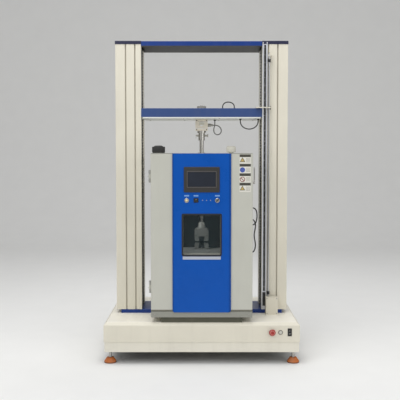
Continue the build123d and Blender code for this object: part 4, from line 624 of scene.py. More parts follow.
@dataclass(frozen=True)
class Seat:
    """Where a small part sits: the CAD body it rides, and the way it looks."""

    body: str
    facing: Facing

    @property
    def axes(self) -> np.ndarray:
        """The directions of the part's width, height and face, as rows."""
        return np.array(self.facing.value, float)


FRAME_FRONT = Seat("frame", Facing.FRONT)
FRAME_BACK = Seat("frame", Facing.BACK)
FRAME_LEFT = Seat("frame", Facing.LEFT)
FRAME_RIGHT = Seat("frame", Facing.RIGHT)
FRAME_UP = Seat("frame", Facing.UP)
HEAD_FRONT = Seat("crosshead", Facing.FRONT)
HEAD_UP = Seat("crosshead", Facing.UP)
HEAD_DOWN = Seat("crosshead", Facing.DOWN)
DOOR_FRONT = Seat("door", Facing.FRONT)
DOOR_BACK = Seat("door", Facing.BACK)
SIDES = (("left", -1, FRAME_LEFT), ("right", 1, FRAME_RIGHT))


def repeated(name: str, shape: np.ndarray, faces: list, places: Places, seat: Seat, finish: Finish) -> bpy.types.Object:
    """Makes one piece of a shape's copies: each copy's points are the shape's plus its place.

    Args:
        name: the piece's name.
        shape: the shape's points (n, 3) about its own foot.
        faces: its faces.
        places: where each copy's foot goes.
        seat: the body it rides.
        finish: its finish.

    Returns:
        The piece.
    """
    every = np.array(places, float).reshape(-1, 3)
    points = (every[:, None, :] + shape[None]).reshape(-1, 3)
    joined = [[j + k * len(shape) for j in face] for k in range(len(every)) for face in faces]
    return place(name, points, joined, seat.body, finish)


def turned(
    name: str, profile: list[Pair], places: Places, seat: Seat, finish: Finish,
    around: int = 40, closed: bool = False, phase: float = 0.0,
) -> bpy.types.Object:
    """Makes one piece of a turned shape repeated at its places.

    Each point of the shape is (radius cos t, radius sin t, height) on the seat's axes.

    Args:
        name: the piece's name.
        profile: radius and height of each ring, from the seat outwards.
        places: the middle of each copy's foot.
        seat: its body, and the way in which the height grows.
        finish: its finish.
        around: points in a ring; three or six of them give a triangle or a hexagon.
        closed: joins the last ring to the first, which leaves a hole through the middle.
        phase: where the first point of a ring stands, in radians.

    Returns:
        The piece.
    """
    radius, height = np.array(profile, float).T
    turn = np.linspace(0, 2 * np.pi, around, endpoint=False) + phase
    across, up = radius[:, None] * np.cos(turn), radius[:, None] * np.sin(turn)
    shape = np.stack([across, up, np.broadcast_to(height[:, None], across.shape)], axis=-1)
    faces = ring_faces(len(profile), around, closed)
    return repeated(name, shape.reshape(-1, 3) @ seat.axes, faces, places, seat, finish)


def plate(
    name: str, size: Point, places: Places, seat: Seat, finish: Finish,
    corner: float = 0.004, edge: float = 0.0004, turn: float = 0.0,
) -> bpy.types.Object:
    """Makes one piece of a rounded plate with a softened front edge, repeated at its places.

    The outline stays full to thick - edge, then draws in along a quarter circle of the edge's size.

    Args:
        name: the piece's name.
        size: width, height and thickness.
        places: the middle of each back.
        seat: its body, and the way it looks.
        finish: its finish.
        corner: its corners' radius.
        edge: its front edge's radius.
        turn: turns it in its own plane, in radians.

    Returns:
        The piece.
    """
    width, height, thick = size
    bend = np.linspace(0, np.pi / 2, RINGS - 2)[1:]
    inset = np.concatenate([[0, 0], edge * (1 - np.cos(bend)), [min(width, height) * CROWN_INSET]])
    level = np.concatenate([[0, thick - edge], thick - edge + edge * np.sin(bend), [thick]])
    cos, sin = math.cos(turn), math.sin(turn)
    twist = np.array([[cos, sin], [-sin, cos]])
    rings = [rounded_outline(width - 2 * i, height - 2 * i, max(corner - i, LEAST_CORNER)) @ twist for i in inset]
    shape = np.concatenate([ring @ seat.axes[:2] + seat.axes[2] * h for ring, h in zip(rings, level)])
    return repeated(name, shape, ring_faces(RINGS, OUTLINE), places, seat, finish)


def frame_ring(
    name: str, outer: Pair, inner: Pair, corner: float, thick: float, at: Point, seat: Seat, finish: Finish
) -> bpy.types.Object:
    """Makes a rounded rectangular ring: its section is walked over outer edge, crown and inner edge.

    Args:
        name: the piece's name.
        outer: its outer width and height.
        inner: its inner width and height.
        corner: its outer corners' radius.
        thick: how far its crown stands out.
        at: the middle of its back.
        seat: its body, and the way it looks.
        finish: its finish.

    Returns:
        The piece.
    """
    rings = []
    for share, level in RING_SECTION:
        size = [o + share * (i - o) for o, i in zip(outer, inner)]
        reach = max(corner - share * (outer[0] - inner[0]) / 2, RING_CORNER)
        rings.append(rounded_outline(*size, reach) @ seat.axes[:2] + seat.axes[2] * (level * thick))
    return place(name, np.concatenate(rings) + np.array(at), ring_faces(RINGS, OUTLINE, True), seat.body, finish)


def fluted(
    name: str, radius: float, depth: float, flutes: int, span: Pair, at: Point, body: str, finish: Finish
) -> None:
    """Makes an upright fluted sleeve: its radius is radius + share * depth * (0.3 + 0.7 |cos(flutes t / 2)|).

    Args:
        name: the piece's name.
        radius: the sleeve's bore.
        depth: how far its ribs stand out.
        flutes: how many ribs it has.
        span: its lower and upper level.
        at: the axis, with the level from which span is measured.
        body: the CAD body it rides.
        finish: its finish.
    """
    turn = np.linspace(0, 2 * np.pi, flutes * 8, endpoint=False)
    low, high = span
    share = np.array([0.0, 0.5, 1.0, 1.0, 0.5, 0.0])[:, None]
    level = np.array([low, low, low + depth, high - depth, high, high])[:, None]
    out = radius + share * depth * (0.3 + 0.7 * np.abs(np.cos(flutes * turn / 2)))
    points = np.stack([out * np.cos(turn), out * np.sin(turn), np.broadcast_to(level, out.shape)], axis=-1)
    place(name, points.reshape(-1, 3) + np.array(at), ring_faces(RINGS, len(turn), True), body, finish)


@dataclass(frozen=True)
class Screw:
    """A screw head: its radius, its height and its socket's radius."""

    radius: float
    height: float
    socket: float

    def put(self, name: str, places: Places, seat: Seat, finish: Finish = STEEL) -> None:
        """Makes one piece of many heads: a skirt, a turned edge, and a socket sunk in the top."""
        r, h, s = self.radius, self.height, self.socket
        turned(name, [(r, 0), (r, 0.7 * h), (0.86 * r, h), (s, h), (0.9 * s, 0.4 * h)], places, seat, finish, 12)


CAP_SCREW = Screw(0.0065, 0.006, 0.0032)
LOW_SCREW = Screw(0.0055, 0.0026, 0.0022)
SMALL_SCREW = Screw(0.0034, 0.0018, 0.0014)


@dataclass
class Studio:
    """A pale floor and backdrop, soft lamps, and the camera at the photograph's place."""

    floor_size: float = 24.0
    wall_y: float = 8.0
    wall_bend: float = 2.5
    bend_steps: int = 16
    aim: Point = (0.0, 0.0, 1.0)
    camera_place: Point = (-0.011, -4.926, 1.299)
    camera_drop: float = 0.055
    lens: float = 64.2
    sensor: float = 36.0
    world: float = 0.46
    lamps: tuple[tuple[str, Point, float, float], ...] = (
        ("key_lamp", (-2.6, -4.4, 4.2), 3.2, 76.0), ("fill_lamp", (3.4, -3.6, 2.4), 3.0, 36.0),
        ("back_lamp", (0.6, 2.2, 4.6), 2.6, 36.0), ("top_lamp", (-0.4, -1.2, 5.2), 3.0, 104.0),
        ("chamber_lamp", (-0.2, -0.16, 1.12), 0.08, 0.9),
    )

    def build(self) -> None:
        """Makes the floor, the lamps, the world's light and the camera."""
        self.backdrop()
        for lamp in self.lamps:
            self.lamp(*lamp)
        world = bpy.data.worlds.new("studio_light")
        world.use_nodes = True
        background = next(n for n in world.node_tree.nodes if n.type == "BACKGROUND")
        background.inputs[0].default_value = (1.0, 1.0, 1.0, 1.0)
        background.inputs[1].default_value = self.world
        bpy.context.scene.world = world
        bpy.context.scene.view_settings.view_transform = "Standard"
        self.camera()

    def backdrop(self) -> None:
        """Makes one sheet: flat floor, a quarter circle at the back, then an upright wall.

        Along its length s the height is 0 up to the bend, then r(1 - cos t), then grows with s.
        """
        bend = np.linspace(0, np.pi / 2, self.bend_steps)
        r, start = self.wall_bend, self.wall_y - self.wall_bend
        y = np.concatenate([[-self.floor_size], start + r * np.sin(bend), [self.wall_y]])
        z = np.concatenate([[0.0], r * (1 - np.cos(bend)), [self.floor_size / 2]])
        x = np.array([-self.floor_size, self.floor_size])
        points = np.stack([np.repeat(x, len(y)), np.tile(y, 2), np.tile(z, 2)], axis=-1)
        faces = [(i, i + len(y), i + len(y) + 1, i + 1) for i in range(len(y) - 1)]
        paper = Finish("backdrop_paper", "", (0.86, 0.86, 0.85), 0.9, relief=0.0, tone=0.01)
        sheet = link("backdrop", smooth_mesh("backdrop", points, faces, paper))

    def lamp(self, name: str, at: Point, size: float, power: float) -> None:
        """Makes one square soft lamp that looks at the machine's middle.

        Args:
            name: the lamp's name.
            at: its place.
            size: its side, in metres.
            power: its power, in watts.
        """
        light = bpy.data.lights.new(name, "AREA")
        light.size, light.energy = size, power
        lamp = link(name, light)
        lamp.location = at
        lamp.rotation_euler = (Vector(self.aim) - Vector(at)).to_track_quat("-Z", "Y").to_euler()

    def camera(self) -> None:
        """Makes the camera, which looks along +Y and a little down."""
        data = bpy.data.cameras.new("camera")
        data.lens, data.sensor_width = self.lens, self.sensor
        camera = link("camera", data)
        camera.location = self.camera_place
        camera.rotation_euler = (math.pi / 2 - self.camera_drop, 0.0, 0.0)
        bpy.context.scene.camera = camera


@dataclass(frozen=True)
class Cable:
    """One cord: its route's points in millimetres, its diameter and length in metres, and its body."""

    name: str
    route: tuple[Point, ...]
    diameter: float
    length: float
    body: str
    finish: Finish
    stiffness: str = "limp"
    lay: str = "loose"

    def build(self) -> bpy.types.Object:
        """Makes the cord as a smooth NURBS curve whose control points are the route's.

        Returns:
            The cord.
        """
        curve = bpy.data.curves.new(self.name, "CURVE")
        curve.dimensions = "3D"
        line = curve.splines.new("NURBS")
        line.points.add(len(self.route) - 1)
        weighted = np.column_stack([np.array(self.route, float) * MM, np.ones(len(self.route))])
        line.points.foreach_set("co", weighted.ravel())
        line.order_u = 3
        line.use_endpoint_u = True
        line.resolution_u = 12
        curve.bevel_depth = self.diameter / 2
        curve.bevel_resolution = 5
        curve.use_fill_caps = True
        curve.materials.append(self.finish.material())
        cord = link(self.name, curve)
        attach(cord, self.body)
        log.info("%s: %.3f m on %s", self.name, self.length, self.body)
        return cord


@dataclass
class Cables:
    """The load cell's cable and its spare turns on the crosshead, and the chamber's side cables."""

    plate_z: float = 1576.0
    top_z: float = 1655.0
    gland_x: float = 332.0

    def routes(self) -> tuple[Cable, ...]:
        """Lists every cord, with the route that its CAD tube has.

        Returns:
            The cords, not yet built.
        """
        low, top, side = self.plate_z, self.top_z, self.gland_x
        cell = (
            (76, 0, 1543), (92, 0, 1543), (108, 2, 1541), (123, 6, 1533), (133, 11, 1520),
            (137, 17, 1505), (133, 23, 1491), (123, 29, 1481), (109, 34, 1478), (96, 38, 1483),
            (87, 41, 1494), (84, 43, 1509), (86, 44, 1526), (91, 45, 1541), (92, 45, 1557), (92, 45, low),
        )
        sag = (
            (262, -70, low), (262, -70, 1560), (267, -71, 1543), (280, -73, 1527), (300, -75, 1516),
            (324, -75, 1512), (348, -74, 1517), (367, -72, 1529), (379, -70, 1545), (383, -69, 1562),
            (383, -69, low),
        )
        arch = (
            (142, -60, top), (142, -60, 1668), (147, -61, 1681), (158, -63, 1691), (174, -64, 1696),
            (192, -64, 1695), (208, -63, 1689), (218, -61, 1679), (222, -60, 1667), (222, -60, top),
        )
        upper = (
            (side, -170, 985), (345, -170, 985), (357, -169, 979), (366, -168, 966), (370, -166, 948),
            (371, -164, 926), (369, -163, 904), (363, -163, 886), (353, -164, 874), (342, -165, 870),
            (side, -165, 870),
        )
        lower = (
            (side, -125, 905), (343, -125, 905), (353, -126, 897), (360, -127, 884), (364, -129, 866),
            (362, -131, 844), (357, -132, 822), (354, -131, 798), (357, -129, 774), (362, -127, 750),
            (364, -125, 726), (361, -124, 704), (354, -124, 688), (344, -125, 680), (side, -125, 680),
        )
        return (
            Cable("cell_cable", cell, 0.007, 0.240, "crosshead", CABLE_GREY, "limp", "hanging"),
            Cable("sagging_cable", sag, 0.007, 0.199, "crosshead", CABLE_BLACK, "medium", "hanging"),
            Cable("arched_cable", arch, 0.007, 0.131, "crosshead", CABLE_BLACK, "limp"),
            Cable("upper_side_cable", upper, 0.008, 0.160, "frame", CABLE_BLACK, "limp"),
            Cable("lower_side_cable", lower, 0.008, 0.262, "frame", CABLE_BLACK, "limp", "hanging"),
        )

    def build(self) -> None:
        """Makes the cords, which stand for their CAD tubes."""
        cords = {cable.name: cable.build() for cable in self.routes()}
        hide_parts("crosshead_cables")
        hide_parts("chamber_cables")


@dataclass
class Bellows:
    """The pleated strips that close the columns' ways; the real ones stretch as the crosshead moves, these are made at
    fixed heights.
    """

    inner_x: float = 0.405
    depth: float = 0.009
    front: float = -0.0945
    back: float = 0.0445
    hem: float = 0.004
    hem_depth: float = 0.0015
    pitch: float = 0.020
    thick: float = 0.0012
    steps: int = 12
    dust_and_sheen_pace: float = 5.0
    table_top: float = 0.295
    head_low: float = 1.582
    head_top: float = 1.649
    beam_low: float = 2.058

    def strip(self, side: int, low: float, high: float) -> tuple[np.ndarray, np.ndarray, np.ndarray]:
        """Works out one strip: x = inner + depth (1 - |cos pi s|^0.7), with s the height in pleats.

        The valleys are as round as the cloth is stiff, and its side edges are turned back.

        Args:
            side: -1 for the left column, 1 for the right.
            low: its lowest height.
            high: its highest height.

        Returns:
            Points (rows, across, 3), how near each is to a fold's crest, which gets dust and a painted sheen, and its
            UV in metres.
        """
        pleats = round((high - low) / self.pitch)
        s = np.linspace(0, pleats, pleats * self.steps + 1)
        wave = 1 - np.abs(np.cos(np.pi * s)) ** 0.7
        z = low + (high - low) * s / pleats
        y = np.array([self.front, self.front + self.hem, self.back - self.hem, self.back])
        draw = np.array([self.hem_depth, 0.0, 0.0, self.hem_depth])
        x = side * (self.inner_x + self.depth * wave[:, None] + draw)
        across = np.broadcast_to(y, x.shape)
        points = np.stack([x, across, np.broadcast_to(z[:, None], x.shape)], axis=-1)
        # Each point's share of crest dust and painted sheen: 1 on a fold's crest, falling to 0 towards the valleys.
        crest_dust_and_sheen = np.repeat(np.clip(1 - wave * self.dust_and_sheen_pace, 0, 1) ** 2, len(y))
        run = np.concatenate([[0], np.cumsum(np.hypot(np.diff(wave * self.depth), np.diff(z)))])
        uv = np.stack([across, np.broadcast_to(run[:, None], x.shape)], axis=-1)
        return points, crest_dust_and_sheen, uv.reshape(-1, 2)

    def build_strip(self, name: str, side: int, low: float, high: float) -> bpy.types.Object:
        """Makes one pleated strip of cloth between two heights.

        Args:
            name: the piece's name.
            side: -1 for left, 1 for right.
            low: its lowest height.
            high: its highest height.

        Returns:
            The strip.
        """
        points, crest_dust_and_sheen, uv = self.strip(side, low, high)
        at = np.arange(crest_dust_and_sheen.size).reshape(points.shape[:2])
        faces = np.stack([at[:-1, :-1], at[:-1, 1:], at[1:, 1:], at[1:, :-1]], axis=-1).reshape(-1, 4)
        faces = faces if side < 0 else faces[:, ::-1]
        mesh = smooth_mesh(name, points.reshape(-1, 3), faces.tolist(), BELLOWS_CLOTH)
        mesh.attributes.new("fold_dust_and_sheen", "FLOAT", "POINT").data.foreach_set("value", crest_dust_and_sheen)
        corners = np.empty(len(mesh.loops), int)
        mesh.loops.foreach_get("vertex_index", corners)
        mesh.uv_layers.new(name="cloth").data.foreach_set("uv", uv[corners].ravel())
        strip = link(name, mesh)
        wall = strip.modifiers.new("cloth", "SOLIDIFY")
        wall.thickness, wall.offset = self.thick, -1.0
        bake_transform(strip)
        log.info("%s: %d pleats", name, round((high - low) / self.pitch))
        return strip

    def build(self) -> None:
        """Makes the four strips, which stand for the two CAD nodes."""
        for word, side, _ in SIDES:
            lower = self.build_strip(
                f"lower_bellows_{word}", side, self.table_top, self.head_low
            )
            upper = self.build_strip(
                f"upper_bellows_{word}", side, self.head_top, self.beam_low
            )
            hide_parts("lower_bellows")
            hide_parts("upper_bellows")


@dataclass
class BaseTrim:
    """Small parts of the base: screws, mains inlet, foot soles and the marks on its controls."""

    side: float = 0.625
    back: float = 0.440
    foot: Pair = (0.590, 0.380)
    screw_level: float = 0.165

    def build(self) -> None:
        """Puts the base's small parts on their bodies."""
        level = (self.screw_level,)
        for word, sign, seat in SIDES:
            places = grid((sign * self.side,), (-0.36, -0.12, 0.12, 0.36), level)
            LOW_SCREW.put(f"base_{word}_screws", places, seat)
        LOW_SCREW.put("base_back_screws", grid((-0.56, -0.28, 0.0, 0.28, 0.56), (self.back,), level), FRAME_BACK)
        soles = grid((-self.foot[0], self.foot[0]), (-self.foot[1], self.foot[1]), (0.0,))
        turned("foot_soles", bead(0.0368, 0.0024, 0.0034), soles, FRAME_UP, RUBBER, 48, closed=True)
        turned("foot_bands", bead(0.0262, 0.0014, 0.0235, 8), soles, FRAME_UP, RUBBER, 48, closed=True)
        self.rear()
        self.controls()

    def rear(self) -> None:
        """Puts the mains inlet on the back."""
        inlet = (-0.47, self.back, 0.21)
        frame_ring("inlet_flange", (0.05, 0.036), (0.031, 0.023), 0.003, 0.004, inlet, FRAME_BACK, PLASTIC)
        plate("inlet_floor", (0.032, 0.024, 0.0006), inlet, FRAME_BACK, RUBBER, 0.003)
        blades = [(-0.478, self.back, 0.208), (-0.470, self.back, 0.214), (-0.462, self.back, 0.208)]
        plate("inlet_blades", (0.0018, 0.006, 0.0032), blades, FRAME_BACK, BRONZE, 0.0006)

    def controls(self) -> None:
        """Puts rings and marks on the three controls of the front."""
        stop, mains = Seat("estop", Facing.FRONT), Seat("mains_rocker", Facing.FRONT)
        x, z, r = 0.448, 0.209, 0.0125
        turned("stop_ring", bead(r, 0.0012, 0.0002, 8), (x, -0.462, z), stop, PINK, closed=True)
        darts = [(x + r * math.cos(t), -0.4622, z + r * math.sin(t)) for t in (0.5, 2.6, 4.7)]
        turned("stop_darts", [(0.0036, 0), (0.0034, 0.0009)], darts, stop, PINK, 3, phase=0.5)
        turned("run_ring", bead(0.0126, 0.0028, 0.0004), (0.501, -0.443, z), FRAME_FRONT, LABEL_GREY, closed=True)
        plate("mains_bar", (0.0016, 0.007, 0.0005), (0.560, -0.4446, 0.218), mains, LABEL_WHITE, 0.0006, 0.0002)
        loop = bead(0.0032, 0.0005, 0.0, 6)
        turned("mains_loop", loop, (0.560, -0.4448, 0.2), mains, LABEL_WHITE, 24, closed=True)


@dataclass
class ColumnTrim:
    """Small parts of the columns and the top beam: screws, cap skirts, the ruled strip and its end block."""

    outer: float = 0.574
    back: float = 0.142
    top: float = 2.092
    cap_x: float = 0.489
    channel_x: float = 0.421
    levels: tuple[float, ...] = (0.36, 0.70, 1.04, 1.38, 1.72, 2.02)

    def build(self) -> None:
        """Puts the columns' small parts on the frame."""
        for word, sign, seat in SIDES:
            LOW_SCREW.put(f"{word}_cover_screws", grid((sign * self.outer,), (-0.07, 0.118), self.levels), seat)
        backs = grid((-0.552, -0.428, 0.428, 0.552), (self.back,), self.levels)
        LOW_SCREW.put("back_cover_screws", backs, FRAME_BACK)
        outer, inner = (0.1745, 0.2885), (0.1695, 0.2835)
        for word, sign, _ in SIDES:
            foot = (sign * self.cap_x, 0.0, 2.0715)
            frame_ring(f"{word}_cap_skirt", outer, inner, 0.002, 0.0215, foot, FRAME_UP, NAVY)
        LOW_SCREW.put("cap_screws", grid((-0.552, -0.426, 0.426, 0.552), (-0.12, 0.12), (self.top,)), FRAME_UP)
        LOW_SCREW.put("beam_screws", grid((-0.385, 0.385), (-0.1, 0.0, 0.1), (self.top,)), FRAME_UP)
        x = self.channel_x
        plate("ruled_strip", (0.014, 1.646, 0.0012), (x, -0.144, 1.243), FRAME_FRONT, SCALE, 0.001)
        plate("channel_block", (0.019, 0.092, 0.0055), (x, -0.144, 0.366), FRAME_FRONT, PLASTIC, 0.002)
        SMALL_SCREW.put("strip_screws", grid((x,), (-0.1452,), (0.45, 0.94, 1.43, 1.92)), FRAME_FRONT)
        SMALL_SCREW.put("switch_box_screws", grid((0.437, 0.501), (-0.202,), (0.279, 0.379)), FRAME_FRONT)


@dataclass
class CrossheadTrim:
    """Small parts of the crosshead: screws, the load cell's blank label, the arm's sleeves and the pull ring."""

    top: float = 1.649
    under: float = 1.582
    arm_top: float = 1.655
    bore: float = 0.0066

    def sleeve(self, name: str, radius: float, height: float, level: float, seat: Seat) -> None:
        """Puts a short tube round the limit rod, which runs through the arm's end.

        Args:
            name: the piece's name.
            radius: its outer radius.
            height: how tall it is.
            level: its foot's height.
            seat: its body, and the way in which it grows.
        """
        profile = [(self.bore, 0), (radius, 0), (radius, height), (self.bore, height)]
        turned(name, profile, (0.450, -0.158, level), seat, PLASTIC, closed=True)

    def build(self) -> None:
        """Puts the crosshead's small parts on it."""
        CAP_SCREW.put("cell_bolts", grid((-0.058, 0.058), (-0.055, 0.055), (self.top,)), HEAD_UP, DARK_STEEL)
        ends = grid((-0.52, -0.41, 0.41, 0.52), (-0.09, 0.09), (self.top,))
        CAP_SCREW.put("bushing_bolts", ends, HEAD_UP, DARK_STEEL)
        plates = grid((-0.36, -0.12, 0.12, 0.36), (-0.12, 0.12), (self.under,))
        LOW_SCREW.put("under_plate_screws", plates, HEAD_DOWN)
        plate("cell_label", (0.036, 0.018, 0.0004), (0.0, -0.025, 1.552), HEAD_FRONT, LABEL_WHITE, 0.002)
        SMALL_SCREW.put("cell_screws", grid((-0.034, 0.034), (-0.025,), (1.512, 1.574)), HEAD_FRONT, DARK_STEEL)
        LOW_SCREW.put("arm_screws", grid((0.374,), (-0.112, -0.136), (self.arm_top,)), HEAD_UP)
        self.sleeve("arm_sleeve", 0.0086, 0.0135, 1.651, HEAD_DOWN)
        self.sleeve("arm_bushing", 0.0098, 0.006, self.arm_top, HEAD_UP)
        pull, ring = Seat("crosshead", Facing.LEFT), bead(0.0095, 0.0011, 0.0, 8)
        turned("pin_pull_ring", ring, (-0.0385, 0.0, 1.4625), pull, CHROME, 32, closed=True)


@dataclass
class GripTrim:
    """Keeper plates over the jaw pockets of both grips, with their screws."""

    front: float = -0.032
    size: Point = (0.088, 0.054, 0.0025)
    levels: Pair = (0.805, 0.671)

    def build(self) -> None:
        """Puts a keeper plate on the front and the back of each grip."""
        for body, grip, level in zip(("crosshead", "frame"), ("upper", "lower"), self.levels):
            for facing, y in ((Facing.FRONT, self.front), (Facing.BACK, -self.front)):
                name, seat = f"{grip}_{facing.name.lower()}", Seat(body, facing)
                plate(f"{name}_keeper", self.size, (0.0, y, level), seat, GRIP_STEEL, 0.004)
                seats = grid((-0.038, 0.038), (y + math.copysign(self.size[2], y),), (level - 0.02, level + 0.02))
                SMALL_SCREW.put(f"{name}_screws", seats, seat, DARK_STEEL)


@dataclass
class ChamberTrim:
    """Small parts of the chamber's casing: screws, gland nuts, vent and bung ribs, collar screws, a lamp."""

    side: float = 0.322
    front: float = -0.440
    back: float = 0.260
    top: float = 1.347
    collar: float = 0.0285
    collar_top: float = 1.352
    vent: Pair = (0.197, -0.150)
    depths: Pair = (-0.06, 0.235)
    levels: tuple[float, ...] = (0.36, 0.62, 0.88, 1.14, 1.32)

    def build(self) -> None:
        """Puts the casing's small parts on the frame and on the bung."""
        for word, sign, seat in SIDES:
            LOW_SCREW.put(f"case_{word}_screws", grid((sign * self.side,), self.depths, self.levels), seat)
        LOW_SCREW.put("case_back_screws", grid((-0.3, 0.3), (self.back,), self.levels), FRAME_BACK)
        LOW_SCREW.put("case_top_screws", grid((-0.3, 0.3), self.depths, (self.top,)), FRAME_UP)
        SMALL_SCREW.put("kick_screws", grid((-0.3, 0.0, 0.3), (self.front,), (0.323,)), FRAME_FRONT)
        LOW_SCREW.put("hinge_screws", grid((-0.339,), (-0.343,), (0.4635, 0.5165, 1.1735, 1.2265)), FRAME_LEFT)
        nut = [(0.0092, 0), (0.0128, 0), (0.0128, 0.0045), (0.0116, 0.0055), (0.0092, 0.0055)]
        glands = [(self.side, y, z) for y, z in ((-0.125, 0.68), (-0.125, 0.905), (-0.165, 0.87), (-0.17, 0.985))]
        turned("gland_nuts", nut, glands, FRAME_RIGHT, PLASTIC, 6, closed=True)
        vent = (*self.vent, self.top)
        fluted("vent_ribs", 0.0281, 0.0032, 24, (0.009, 0.045), vent, "frame", PALE_PLASTIC)
        turned("vent_lip", bead(0.0255, 0.0012, 0.0484), vent, FRAME_UP, PALE_PLASTIC, closed=True)
        fluted("bung_ribs", 0.0391, 0.0030, 30, (0.006, 0.042), (-0.279, -0.300, self.top), "bung", RUBBER)
        r, turns = self.collar, (0.79, 2.36, 3.93, 5.5)
        LOW_SCREW.put("collar_screws", [(r * math.cos(t), r * math.sin(t), self.collar_top) for t in turns], FRAME_UP)
        self.lamp()

    def lamp(self) -> None:
        """Puts a round lamp with its ring on the liner's left wall."""
        at = (-0.2605, -0.20, 0.955)
        dome = [(0.024, 0), (0.024, 0.004), (0.020, 0.012), (0.011, 0.018), (0.003, 0.0198)]
        turned("lamp_dome", dome, at, FRAME_RIGHT, WARM_GLASS)
        turned("lamp_ring", bead(0.0255, 0.0022, 0.0018), at, FRAME_RIGHT, CHROME, closed=True)


@dataclass
class DoorTrim:
    """Small parts of the door: labels, screws, rings round the window, panel rim, painted shadow strips under the door
    and control marks.
    """

    front: float = -0.440
    back: float = -0.370
    window_z: float = 0.832
    control_z: float = 1.050
    label: Pair = (0.070, 0.0595)
    label_top: float = 1.3385
    label_x: float = 0.273

    def build(self) -> None:
        """Puts the door's small parts on it."""
        self.labels()
        self.controls()
        sides = grid((-0.232, 0.232), (self.back,), (0.66, 0.93, 1.16))
        ends = grid((-0.116, 0.0, 0.116), (self.back,), (0.64, 1.18))
        SMALL_SCREW.put("inner_panel_screws", np.concatenate([sides, ends]), DOOR_BACK)
        inside, outside = (0.0, self.back, self.window_z), (0.0, -0.450, self.window_z)
        ring, bead_size = ((0.284, 0.298), (0.256, 0.270)), ((0.2415, 0.2560), (0.2345, 0.2490))
        frame_ring("inner_window_ring", *ring, 0.012, 0.0025, inside, DOOR_BACK, DRAWN_STAINLESS)
        LOW_SCREW.put("leaf_screws", grid((-0.339,), (-0.408,), (0.49, 1.20)), Seat("door", Facing.LEFT))
        frame_ring("window_bead", *bead_size, 0.009, 0.0022, outside, DOOR_FRONT, RUBBER)
        rim = (0.0, -0.453, 1.182)
        frame_ring("screen_rim", (0.1860, 0.1030), (0.1790, 0.0950), 0.003, 0.0009, rim, DOOR_FRONT, SCREEN_RIM)
        # Painted shadow: two dark strips under the door stand for the shadow in its bottom gap.
        gap_shadow = [(x, self.front, 0.3495) for x in (-0.2535, 0.2535)]
        plate("door_gap_shadow_strip", (0.137, 0.0085, 0.0012), gap_shadow, DOOR_FRONT, GAP_SHADOW, 0.0008)

    def labels(self) -> None:
        """Puts four stacked labels at the upper right: dark headers, white fields and plain emblems."""
        width, pitch = self.label
        tops = [self.label_top - i * pitch for i in range(4)]
        heads = [(self.label_x, self.front, top - 0.0085) for top in tops]
        plate("label_headers", (width, 0.0165, 0.0005), heads, DOOR_FRONT, LABEL_DARK, 0.0006, 0.0001)
        fields = [(self.label_x, self.front, top - 0.0375) for top in tops]
        plate("label_fields", (width, 0.041, 0.0005), fields, DOOR_FRONT, LABEL_WHITE, 0.0006, 0.0001)
        face = self.front - 0.0005
        sign = [(self.label_x - 0.017, face, top - 0.0375) for top in tops]
        ends, upright = [sign[0], sign[3]], np.pi / 2
        flat = [(0.0195, 0), (0.0195, 0.0004)]
        turned("label_triangles", flat, ends, DOOR_FRONT, LABEL_DARK, 3, phase=upright)
        inner = [(x, y - 0.0004, z) for x, y, z in ends]
        small = [(0.0135, 0), (0.0135, 0.0003)]
        turned("label_triangle_fields", small, inner, DOOR_FRONT, LABEL_YELLOW, 3, phase=upright)
        disc = [(0.0165, 0), (0.0165, 0.0004)]
        turned("label_blue_disc", disc, sign[1], DOOR_FRONT, LABEL_BLUE)
        ring = [*disc, (0.0125, 0.0004), (0.0125, 0)]
        turned("label_red_ring", ring, sign[2], DOOR_FRONT, LABEL_RED, closed=True)
        plate("label_red_bar", (0.0042, 0.026, 0.0004), sign[2], DOOR_FRONT, LABEL_RED, 0.0006, 0.0001, 0.785)
        rules = [(self.label_x + 0.018, face, top - z) for top in tops for z in (0.026, 0.033, 0.040, 0.047)]
        plate("label_rules", (0.026, 0.0022, 0.0002), rules, DOOR_FRONT, LABEL_GREY, 0.0004, 0.00005)

    def controls(self) -> None:
        """Puts the button's lens, the selector's bar, the rocker's mark and the lamps' lenses on."""
        button, selector, rocker = (
            Seat(body, Facing.FRONT) for body in ("door_button", "door_selector", "door_rocker")
        )
        z = self.control_z
        lens = [(0.0072, 0), (0.0072, 0.0008), (0.0056, 0.0017), (0.0026, 0.0021)]
        turned("button_lens", lens, (-0.095, -0.455, z), button, LENS_AMBER)
        rings = [(x, -0.451, z) for x in (-0.095, 0.098)]
        turned("control_rings", bead(0.0128, 0.0012), rings, DOOR_FRONT, CHROME, closed=True)
        plate("selector_bar", (0.006, 0.021, 0.0012), (0.098, -0.461, z), selector, PLASTIC, 0.002, turn=-0.785)
        mark = (-0.036, -0.4528, 1.055)
        plate("rocker_mark", (0.0014, 0.006, 0.0004), mark, rocker, LABEL_WHITE, 0.0005, 0.0001)
        dome = [(0.0028, 0), (0.0028, 0.0006), (0.0018, 0.0018), (0.0007, 0.0021)]
        lamps = [(x, -0.448, z) for x in (0.005, 0.030, 0.055)]
        turned("lamp_lenses", dome, lamps, DOOR_FRONT, LABEL_WHITE, 16)
        marks = [(x, -0.448, 1.079) for x in (-0.095, -0.036, 0.098)]
        plate("control_marks", (0.030, 0.009, 0.0003), marks, DOOR_FRONT, FASCIA_PALE, 0.001, 0.0001)


